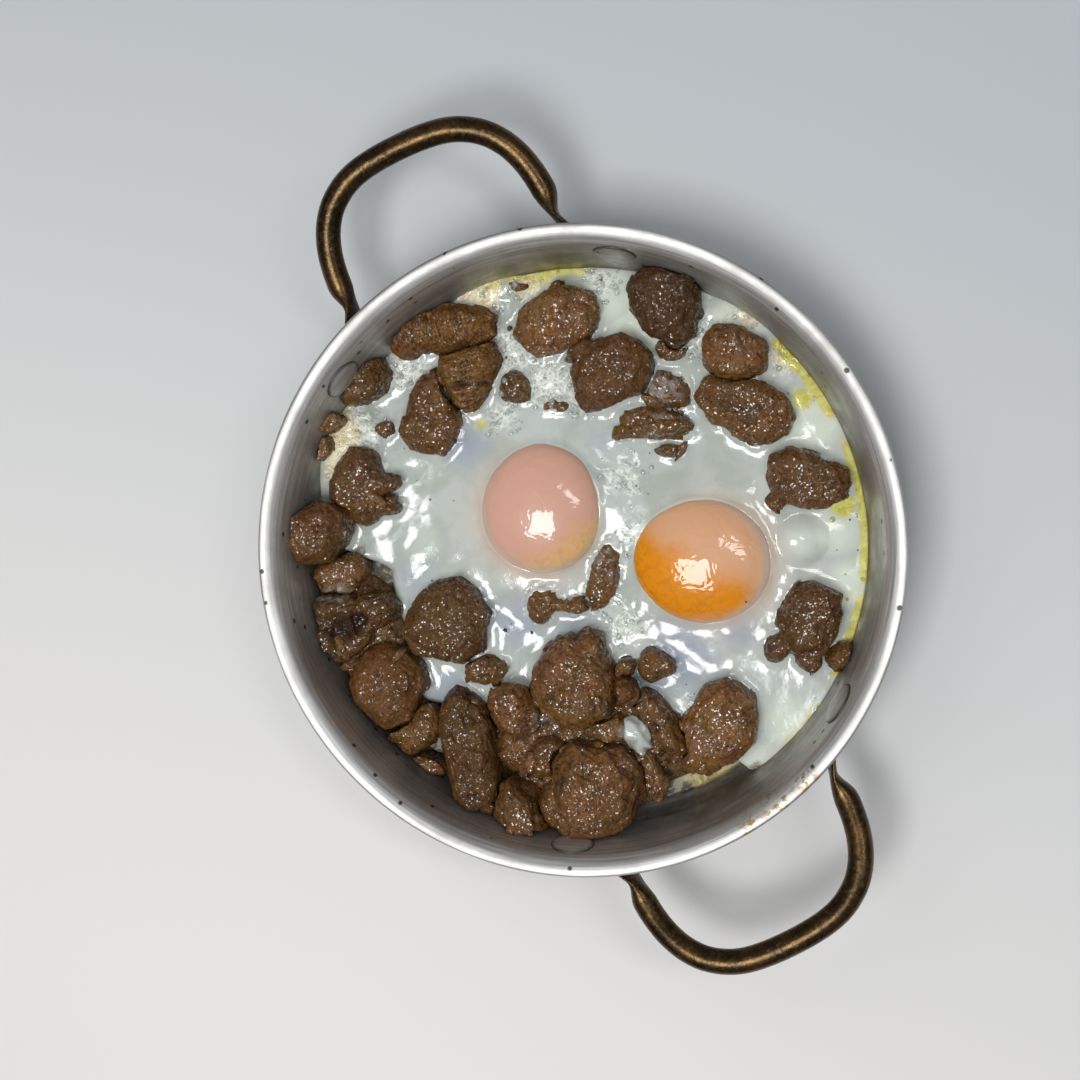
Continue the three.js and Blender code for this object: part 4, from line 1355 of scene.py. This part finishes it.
# Zones of the white in the layout, each a list of x, y, radius and strength.
ZONES = {
    "froth": [
        (-22, 57, 9, 1.0),
        (-10, 47, 9, 0.9),
        (0, 44, 7, 0.8),
        (-52, 52, 8, 0.9),
        (12, 20, 9, 0.6),
        (16, 4, 7, 0.7),
        (12, -22, 8, 0.7),
        (34, 60, 7, 0.8),
        (-66, 34, 9, 0.8),
        (-24, 38, 7, 0.7),
        (4, 76, 7, 0.7),
    ],
    "cream": [
        (-30, 74, 9, 1.0),
        (-17, 76, 7, 0.8),
        (47, 67, 8, 0.7),
        (58, 55, 7, 0.8),
        (-73, 33, 10, 1.0),
        (-72, 22, 8, 0.8),
    ],
    "blue": [
        (-34, 30, 9, 0.8),
        (-50, -10, 8, 0.6),
        (-39, -43, 8, 1.0),
        (-20, -22, 12, 0.7),
        (30, -30, 15, 0.8),
        (44, -22, 10, 0.7),
        (6, 30, 8, 0.5),
        (-2, -22, 9, 0.6),
        (20, -38, 8, 0.7),
    ],
    "firm": [
        (60, -50, 14, 0.7),
        (52, -62, 12, 0.7),
        (72, 6, 12, 0.7),
        (66, 36, 12, 0.9),
        (62, 3, 9, 0.6),
        (16, 62, 12, 1.0),
        (7, 72, 10, 1.0),
        (43, 65, 10, 1.0),
        (75, -9, 10, 0.8),
        (30, 74, 8, 0.9),
        (62, 62, 9, 0.7),
        (73, 22, 9, 0.8),
        (-48, 2, 12, 0.45),
    ],
    "fat": [
        (62, 43, 5, 0.9),
        (73.5, 13, 5.5, 1.0),
        (75.5, -12, 4.5, 0.5),
        (71, -29, 4, 0.8),
        (-12, 79, 6, 0.8),
        (-30, 35.5, 3.5, 0.7),
        (-25, 30, 3, 0.4),
        (15, 22, 3, 0.5),
        (28, 29, 4.5, 0.5),
    ],
    "juice": [
        (-60, -52, 10, 0.8),
        (-40, -68, 10, 1.0),
        (10, -60, 12, 0.8),
        (-58, 45, 6, 0.4),
        (-70, 10, 6, 0.5),
        (34, -66, 9, 1.0),
        (-68, -2, 6, 0.6),
        (50, -64, 5, 0.8),
    ],
}

# Where yellow fat stands at the white's edge by the wall: bearing, half width in degrees, and strength.
OILY_EDGES = [(100, 16, 0.6), (38, 13, 0.9), (8, 20, 0.8), (-18, 12, 0.8), (-38, 8, 0.5), (150, 10, 0.5)]

MENISCUS_REACH = 1.15  # how fast the white's climb dies away from what stands in it
GLOW_REACH = 3.0  # how fast a yolk's glow dies away in the white
DROWNED = 1.8  # a sunk chunk that is less deep than this shows through the white
BARED = 0.5  # and stands this far out of it

# Chunks that the white nearly covers, and all the food that shows.
SUNK = ("kavurma_middle_sunk", "kavurma_back_sunk", "kavurma_back_row", "kavurma_middle_pair")
FOOD = ("kavurma_", "mashed_", "soft_yolk", "set_white", "pool_of", "meat_juices", "meat_shreds")


def turn_between(bearing, other):
    """How far bearings (an array) are turned from another, from minus to plus half a turn."""
    return np.arctan2(np.sin(bearing - other), np.cos(bearing - other))


def white_reach(bearing):
    """How far the white goes from the pan's middle at bearings of the layout: less beside the heap."""
    turned = turn_between(bearing, BAY_MIDDLE)
    away = np.abs(turned)
    half = np.where(turned > 0, FAR_BAY_HALF, BAY_HALF)
    edge = np.where(turned > 0, FAR_BAY_EDGE, BAY_EDGE)
    inlet = INLET * np.exp(-((turn_between(bearing, INLET_BEARING) / INLET_HALF) ** 2))
    return WHITE_REACH - BAY * (1 - smooth(away, half, half + edge)) + inlet


def white_height(x, y, sizes):
    """The smooth upper surface of the white at layout places (arrays)."""
    z = sizes["level"] - sizes["edge_drop"] * (np.hypot(x, y) / WALL_STOP) ** 3
    for yolk_x, yolk_y in YOLKS.values():
        far = np.hypot(x - yolk_x, y - yolk_y)
        z += sizes["mound"] * (1 - smooth(far, MOUND_RADIUS - MOUND_SLOPE, MOUND_RADIUS + MOUND_SLOPE))
    for swell_x, swell_y, radius, rise in SWELLS:
        share = np.hypot(x - swell_x, y - swell_y) / radius
        z += rise * np.maximum(0, 1 - share**2)
    for dip_x, dip_y, radius, drop in DIPS:
        z -= drop * np.exp(-((np.hypot(x - dip_x, y - dip_y) / radius) ** 2) * 1.5)
    return z


def zone(name, x, y):
    """How strongly a zone of the white holds at layout places (arrays)."""
    held = np.zeros(len(x))
    for spot_x, spot_y, radius, strength in ZONES[name]:
        far = np.hypot(x - spot_x, y - spot_y) / radius
        held = np.maximum(held, strength * np.exp(-((far / 0.85) ** 2)))
    return held


def soft_least(a, b, blend):
    """The lesser of two arrays, rounded off where they cross."""
    return -blend * np.log(np.exp(-a / blend) + np.exp(-b / blend))


def yolk_gap(x, y, node):
    """How far layout places are outside a yolk's outline, in millimetres."""
    turn = YOLK_TURNS[node] * DEG
    along = (x - YOLKS[node][0]) * math.cos(turn) + (y - YOLKS[node][1]) * math.sin(turn)
    across = (y - YOLKS[node][1]) * math.cos(turn) - (x - YOLKS[node][0]) * math.sin(turn)
    half = np.array(YOLK_SIZES[node]) / 2
    return (np.hypot(along / half[0], across / half[1]) - 1) * half[1]


def blurred(x, y, node):
    """How blurred a yolk's outline is towards layout places: its film runs into the white there."""
    side = (x - YOLKS[node][0]) * BLUR[node][0] + (y - YOLKS[node][1]) * BLUR[node][1]
    return np.clip(0.5 + 0.5 * side / (YOLK_SIZES[node][0] / 2), 0, 1)


class DISH_OT_yolks(bpy.types.Operator):
    """Shapes the two yolks, each with the film that the white has drawn over it"""

    bl_idname = "dish.make_yolks"
    bl_label = "Yolks"

    def execute(self, context):
        look = context.scene.dish_colours
        left = yolk_material("filmed yolk", look.left_film, look.left_yolk, look.left_edge)
        right = yolk_material("bright yolk", look.right_film, look.right_yolk, look.right_edge)
        self.yolk("yolk_left", left, "filmed_yolk", (0.55, -0.85), 0.62)
        self.yolk("yolk_right", right, "yolk", (-0.46, -0.89), 0.02)
        return {"FINISHED"}

    def yolk(self, node, material, slot, bare, cover):
        """One yolk; bare is the way to the side that the film leaves free, and cover its reach."""
        low, top = (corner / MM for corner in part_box(node))
        middle = (low + top) / 2
        bm = bmesh.new()
        bmesh.ops.create_uvsphere(bm, u_segments=128, v_segments=80, radius=1)
        mesh = mesh_from(bm, f"soft_{node}")
        unit = coordinates(mesh)
        bearing = np.arctan2(unit[:, 1], unit[:, 0])
        flat = np.sign(unit[:, 2]) * np.abs(unit[:, 2]) ** 1.08
        wobble = 1 + 0.012 * np.sin(2 * bearing + 1.0) + 0.008 * np.sin(3 * bearing + low.x)
        half = np.array(YOLK_SIZES[node]) / 2
        spun = unit * wobble[:, None]
        points = np.stack([spun[:, 0] * half[0], spun[:, 1] * half[1], flat * half[2]], axis=1)
        turn = Matrix.Rotation(YOLK_TURNS[node] * DEG + FOOD_TURN, 3, "Z")
        points = points @ np.array(turn).T + np.array(middle)
        set_coordinates(mesh, points)
        places = layout_of(points) - layout_of(np.array([tuple(middle)]))
        side = (places[:, 0] * bare[0] + places[:, 1] * bare[1]) / (half[0] * math.hypot(*bare))
        paint(mesh, "filmed", 1 - smooth(side, cover - FILM_FADE, cover + FILM_FADE))
        whole = layout_of(points)
        blur = blurred(whole[:, 0], whole[:, 1], node)
        paint(mesh, "skirt", (1 - smooth(points[:, 2], SKIRT_LOW, SKIRT_HIGH)) * blur)
        finish(mesh, material, slot, [node])


class DISH_OT_white(bpy.types.Operator):
    """Pours the egg white round the meat and the yolks, and leaves a scrap of it in the heap"""

    bl_idname = "dish.make_white"
    bl_label = "Egg white"

    def execute(self, context):
        group = context.scene.egg_sizes
        keys = ("level", "edge_drop", "mound", "meniscus", "ripple")
        sizes = {key: getattr(group, key) / MM for key in keys}
        material = white_material(context.scene.dish_colours)
        tree, sunk = search_tree(("kavurma_", "mashed_", "soft_yolk")), search_tree(SUNK)
        mesh, unit = disc("set_white", group.steps)
        bearing = np.arctan2(unit[:, 1], unit[:, 0])
        share = np.hypot(unit[:, 0], unit[:, 1])
        limit = white_reach(bearing)
        for _ in range(3):
            edge_z = white_height(limit * np.cos(bearing), limit * np.sin(bearing), sizes)
            limit = soft_least(white_reach(bearing), inner_radius(edge_z) + 0.15, 2.0)
        x, y = share * limit * np.cos(bearing), share * limit * np.sin(bearing)
        in_bay = smooth(inner_radius(edge_z) - limit, 0.6, 3.0)
        z = white_height(x, y, sizes) - 7.5 * in_bay * np.exp(-(1 - share) * limit / 1.3)
        self.fill(mesh, x, y, z, sizes, tree, sunk)
        close_sheet(mesh)
        finish(mesh, material, "egg_white", ["egg_white"])
        self.pool(sizes, material, tree, sunk)
        return {"FINISHED"}

    def pool(self, sizes, material, tree, sunk):
        """The scrap of set white that is caught between the chunks of the heap."""
        low, top = (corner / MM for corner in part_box("egg_white_pocket"))
        middle, half = (low + top) / 2, (top - low) / 2
        mesh, unit = disc("pool_of_white", 60)
        share = np.hypot(unit[:, 0], unit[:, 1])
        ragged = np.array([1.05 + 0.22 * noise.noise(Vector(p) * 2.2) for p in unit])
        places = layout_of(unit * ragged[:, None] * np.array(half) + np.array(middle))
        z = top.z - 0.6 - 3.5 * share**3
        self.fill(mesh, places[:, 0], places[:, 1], z, sizes, tree, sunk)
        close_sheet(mesh)
        finish(mesh, material, "egg_white", ["egg_white_pocket"])

    def fill(self, mesh, x, y, z, sizes, tree, sunk):
        """Gives a sheet of white its waves, its rise to what stands in it, and its zones."""
        zones = {name: zone(name, x, y) for name in ZONES}
        z = z + self.waves(x, y, sizes["ripple"], zones["froth"] + zones["cream"])
        points = np.stack([x, y, z], axis=1) @ np.array(Matrix.Rotation(FOOD_TURN, 3, "Z")).T
        for i, point in enumerate(points):
            crown = sunk.ray_cast(Vector((point[0], point[1], 40)) * MM, Vector((0, 0, -1)))[0]
            if crown and z[i] - DROWNED < crown.z / MM:
                z[i] = min(z[i], crown.z / MM - BARED)
        points[:, 2] = z
        z += sizes["meniscus"] * np.exp(-np.maximum(gaps_to(tree, points), 0) / MENISCUS_REACH)
        points[:, 2] = np.maximum(z, WALL + 0.4)
        set_coordinates(mesh, points)
        from_wall = inner_radius(points[:, 2]) - np.hypot(x, y)
        zones["fat"] = np.maximum(zones["fat"], self.oily_edge(x, y, from_wall))
        zones["glow"] = np.maximum(*[self.glow(x, y, node) for node in YOLKS])
        for name, held in zones.items():
            paint(mesh, name, held)

    def oily_edge(self, x, y, from_wall):
        """How strongly yellow fat holds at layout places, by how far each is from the wall."""
        at_wall = 1 - smooth(from_wall, 0.8, 5.0)
        bearing = np.arctan2(y, x)
        held = np.zeros(len(x))
        for middle, half, strength in OILY_EDGES:
            away = np.abs(turn_between(bearing, middle * DEG))
            here = 1 - smooth(away, 0.6 * half * DEG, half * DEG)
            held = np.maximum(held, strength * at_wall * here)
        return held

    def glow(self, x, y, node):
        """How strongly a yolk shows through the white beside it, at layout places."""
        return np.exp(-np.maximum(yolk_gap(x, y, node), 0) / GLOW_REACH) * blurred(x, y, node)

    def waves(self, x, y, ripple, rough):
        """Slow waves all over, busier towards the heap, and pocks where the white is frothy."""
        made = np.empty(len(x))
        for i, (u, v, r) in enumerate(zip(x, y, rough)):
            here = Vector((u, v, 0))
            slow = noise.fractal(here / 12, 0.8, 2.2, 2)
            ridge = 0.3 - math.hypot(noise.noise(here / 6), 0.04)
            pock = 0.0
            if r > 0.15:
                pock = min(r, 1.0) * (0.5 * noise.noise(here / 1.5) + 0.4 * noise.noise(here / 3.3))
            busy = 0.35 + 0.65 * float(smooth(-0.5 * u - 0.87 * v, -18, 14))
            still = 1.0
            for still_x, still_y, radius in STILL:
                still -= 0.75 * math.exp(-((math.hypot(u - still_x, v - still_y) / radius) ** 2))
            made[i] = ripple * still * (2.0 * slow + 0.95 * busy * ridge) + pock
        return made


# The thin juices: how high they stand, and where fat floats on them in the layout: x, y, z and radius.
JUICE_LEVEL = 3.4
JUICE_RIPPLE = 0.5
FLOATING_FAT = [(36, -66, 3, 14), (-60, -58, 3, 7), (-40, -70, 3, 6)]


class DISH_OT_juices(bpy.types.Operator):
    """Runs the thin brown juices over the pan's floor beside the heap"""

    bl_idname = "dish.make_juices"
    bl_label = "Juices"

    def execute(self, context):
        mesh, unit = disc("meat_juices", 150)
        points = unit * (float(inner_radius(JUICE_LEVEL)) + 0.1)
        for i, point in enumerate(points):
            points[i, 2] = JUICE_LEVEL + JUICE_RIPPLE * noise.fractal(Vector(point) / 5, 0.8, 2.2, 3)
        points[:, 2] = np.maximum(points[:, 2], WALL + 0.5)
        set_coordinates(mesh, points)
        places = layout_of(points)
        paint(mesh, "fat", near_spots(places, FLOATING_FAT))
        close_sheet(mesh)
        finish(mesh, juice_material(), "meat")
        return {"FINISHED"}


# ------------------------------------------------------------------ pepper, bubbles and fat

# The larger grains of pepper in the layout: x, y and radius.
PEPPER = [
    (-21.7, 63.3, 0.8),
    (-67.2, 28.6, 0.75),
    (40.5, 62.5, 0.7),
    (38.6, 61.4, 0.4),
    (-23.2, -24.2, 0.65),
    (-15.5, -24.9, 0.55),
    (46.7, -14.2, 0.35),
    (-22.6, 55.0, 0.4),
    (4.7, 77.0, 0.45),
    (75.3, 8.8, 0.3),
    (-45.0, -10.0, 0.3),
    (12.0, 33.0, 0.35),
]
PEPPER_COUNT = 60
PEPPER_REACH = 78
CLEAR_OF_YOLKS = 8


class DISH_OT_pepper(bpy.types.Operator):
    """Scatters ground pepper and small dark crumbs over the food"""

    bl_idname = "dish.scatter_pepper"
    bl_label = "Pepper"

    def execute(self, context):
        draw = random.Random(11)
        tree = search_tree(FOOD)
        bm = bmesh.new()
        spots = list(PEPPER)
        while len(spots) < PEPPER_COUNT:
            far, bearing = PEPPER_REACH * math.sqrt(draw.random()), 2 * math.pi * draw.random()
            x, y = far * math.cos(bearing), far * math.sin(bearing)
            if min(float(yolk_gap(x, y, node)) for node in YOLKS) > CLEAR_OF_YOLKS:
                spots.append((x, y, draw.choice((0.2, 0.22, 0.25, 0.3))))
        for x, y, size in spots:
            place, normal = dropped(tree, x, y)
            if place is None:
                continue
            grain = bmesh.ops.create_icosphere(bm, subdivisions=1, radius=size)["verts"]
            for corner in grain:
                corner.co *= 0.75 + 0.5 * draw.random()
            turn = Euler([draw.random() * 6 for _ in range(3)]).to_matrix().to_4x4()
            shift = Matrix.Translation(place + normal * size * 0.25)
            bmesh.ops.transform(bm, matrix=shift @ turn, verts=grain)
        finish(mesh_from(bm, "ground_pepper"), pepper_material(), "meat")
        return {"FINISHED"}


HIGHEST_BEAD = 12.5  # so that none lies on a yolk or on top of the meat


class DISH_OT_froth(bpy.types.Operator):
    """Blows bubbles where the white is frothy, and lays beads of fat by the wall"""

    bl_idname = "dish.blow_froth"
    bl_label = "Froth and fat"

    def execute(self, context):
        tree = search_tree(FOOD)
        bubbles = [(x, y, radius, 26) for x, y, radius, _ in ZONES["froth"]]
        bubbles += [(x, y, radius, 16) for x, y, radius, _ in ZONES["cream"]]
        bm = bmesh.new()
        self.domes(bm, tree, bubbles, (0.35, 1.1), 1.0, random.Random(5))
        finish(mesh_from(bm, "froth_bubbles"), bubble_material(), "egg_white")
        beads = [(x, y, 1.3 * radius, 6) for x, y, radius, _ in ZONES["fat"] if math.hypot(x, y) > 60]
        bm = bmesh.new()
        self.domes(bm, tree, beads, (0.3, 1.0), 0.3, random.Random(8))
        finish(mesh_from(bm, "fat_beads"), oil_material(context.scene.dish_colours), "egg_white")
        return {"FINISHED"}

    def domes(self, bm, tree, spots, sizes, rise, draw):
        """Round beads on the food: count of them round each spot, flattened to rise."""
        for x, y, radius, count in spots:
            for _ in range(count):
                far, bearing = radius * math.sqrt(draw.random()), 2 * math.pi * draw.random()
                size = sizes[0] + (sizes[1] - sizes[0]) * draw.random() ** 2.5
                place, normal = dropped(tree, x + far * math.cos(bearing), y + far * math.sin(bearing))
                if place is None or normal.z < 0.6 or place.z > HIGHEST_BEAD:
                    continue
                bead = bmesh.ops.create_icosphere(bm, subdivisions=2, radius=size)["verts"]
                flat = Matrix.Diagonal((1, 1, rise, 1))
                turn = normal.to_track_quat("Z", "Y").to_matrix().to_4x4()
                bmesh.ops.transform(bm, matrix=Matrix.Translation(place) @ turn @ flat, verts=bead)


# ------------------------------------------------------------------ the stage


# The lamps, with lengths in metres, powers in watts, places in the layout and turns in degrees.
LAMPS = [
    {"name": "soft key", "place": (-0.75, 0.65, 1.0), "size": 1.0, "power": 4.2, "tint": (1, 0.98, 0.95)},
    {"name": "panel", "place": (-0.13, -0.247, 0.96), "size": 0.42, "power": 6.9, "turn": 25},
    {"name": "strip", "place": (0.46, 0.17, 0.9), "size": 0.13, "long_size": 0.45, "power": 1.5, "turn": -48},
]
UNREFLECTED = ("soft key",)  # seen in no glossy surface
SKY = (0.84, 0.87, 0.90)
SKY_BELOW = 0.075
SKY_ABOVE = 0.34

# Where the middle of the rim stands from the middle of the picture, in pixels of a picture this wide.
RIM_OFFSET = (31.1, -15.0)
PICTURE = 1080
SENSOR = 36


def area_light(name, size, power, place, tint=(1, 1, 1), long_size=None, turn=0.0):
    """A panel of light at a place in metres of the layout that faces the dish."""
    data = bpy.data.lights.new(name, "AREA")
    data.energy = power
    data.color = tint
    data.size = size
    if long_size:
        data.shape = "RECTANGLE"
        data.size_y = long_size
    lamp = bpy.data.objects.new(name, data)
    bpy.context.scene.collection.objects.link(lamp)
    place = laid(*place)
    aim = (Vector((0, 0, 0.02)) - place).to_track_quat("-Z", "Y")
    lamp.rotation_euler = (aim.to_matrix() @ Matrix.Rotation(turn * DEG, 3, "Z")).to_euler()
    lamp.location = place
    lamp.visible_glossy = name not in UNREFLECTED


class DISH_OT_stage(bpy.types.Operator):
    """Lays the pale floor, sets up the soft light and places the camera"""

    bl_idname = "dish.set_stage"
    bl_label = "Stage"

    def execute(self, context):
        bm = bmesh.new()
        bmesh.ops.create_grid(bm, x_segments=1, y_segments=1, size=2.5)
        floor = bpy.data.objects.new("floor", mesh_from(bm, "floor"))
        floor.data.materials.append(floor_material(context.scene.dish_colours))
        context.scene.collection.objects.link(floor)
        for lamp in LAMPS:
            area_light(**lamp)
        self.world(context.scene)
        self.camera(context.scene)
        return {"FINISHED"}

    def world(self, scene):
        """Soft light from all round, bright overhead and dim near the floor."""
        world = bpy.data.worlds.new("studio")
        world.use_nodes = True
        nodes, links = world.node_tree.nodes, world.node_tree.links
        height = nodes.new("ShaderNodeSeparateXYZ")
        links.new(nodes.new("ShaderNodeTexCoord").outputs["Generated"], height.inputs[0])
        strength = nodes.new("ShaderNodeMapRange")
        strength.inputs["To Min"].default_value = SKY_BELOW
        strength.inputs["To Max"].default_value = SKY_ABOVE
        links.new(height.outputs["Z"], strength.inputs["Value"])
        links.new(strength.outputs["Result"], nodes["Background"].inputs["Strength"])
        nodes["Background"].inputs["Color"].default_value = (*SKY, 1)
        scene.world = world

    def camera(self, scene):
        """Looks at the dish from the photograph's side, with the layout's Y up in the picture."""
        sizes = scene.stage_sizes
        camera = bpy.data.objects.new("camera", bpy.data.cameras.new("camera"))
        camera.data.lens = sizes.lens
        camera.data.sensor_width = SENSOR
        bearing = sizes.bearing + FOOD_TURN
        level = Vector((math.cos(bearing), math.sin(bearing), 0))
        away = level * math.sin(sizes.tilt) + Vector((0, 0, math.cos(sizes.tilt)))
        right = (-away).cross(laid(0, 1)).normalized()
        facing = Matrix((right, right.cross(-away), away)).transposed()
        rim = Vector((*RIM_OFFSET, -sizes.lens / SENSOR * PICTURE))
        aim = Vector((0, 0, -1)).rotation_difference(rim)
        facing = facing @ aim.to_matrix().transposed()
        place = Vector((0, 0, RIM_HEIGHT * MM)) + away * sizes.distance
        camera.matrix_world = Matrix.Translation(place) @ facing.to_4x4()
        scene.collection.objects.link(camera)
        scene.camera = camera
        scene.view_settings.view_transform = "Standard"


# ------------------------------------------------------------------ the panel, and running it all


class DISH_PT_panel(bpy.types.Panel):
    """Lists the steps that build the dish, and its sizes and colours"""

    bl_idname = "DISH_PT_panel"
    bl_label = "Eggs with kavurma"
    bl_space_type = "VIEW_3D"
    bl_region_type = "UI"
    bl_category = "Dish"

    def draw(self, context):
        for operator in OPERATORS:
            self.layout.operator(operator.bl_idname)
        for name, group in GROUPS.items():
            box = self.layout.box()
            box.label(text=name.replace("_", " ").capitalize())
            for key in group.__annotations__:
                box.prop(getattr(context.scene, name), key)


OPERATORS = (
    DISH_OT_stage,
    DISH_OT_pan,
    DISH_OT_rivets,
    DISH_OT_handles,
    DISH_OT_meat,
    DISH_OT_yolks,
    DISH_OT_white,
    DISH_OT_juices,
    DISH_OT_pepper,
    DISH_OT_froth,
)
GROUPS = {
    "dish_colours": DishColours,
    "pan_sizes": PanSizes,
    "meat_sizes": MeatSizes,
    "egg_sizes": EggSizes,
    "stage_sizes": StageSizes,
}


def register():
    for cls in (*GROUPS.values(), *OPERATORS, DISH_PT_panel):
        bpy.utils.register_class(cls)
    for name, group in GROUPS.items():
        setattr(bpy.types.Scene, name, PointerProperty(type=group))


def unregister():
    for name in GROUPS:
        delattr(bpy.types.Scene, name)
    for cls in (DISH_PT_panel, *reversed(OPERATORS), *reversed(GROUPS.values())):
        bpy.utils.unregister_class(cls)


def main():
    register()
    bpy.ops.dish.set_stage()
    bpy.ops.dish.make_pan()
    bpy.ops.dish.make_rivets()
    bpy.ops.dish.make_handles()
    bpy.ops.dish.make_meat()
    bpy.ops.dish.make_yolks()
    bpy.ops.dish.make_white()
    bpy.ops.dish.make_juices()
    bpy.ops.dish.scatter_pepper()
    bpy.ops.dish.blow_froth()


if __name__ == "__main__":
    main()
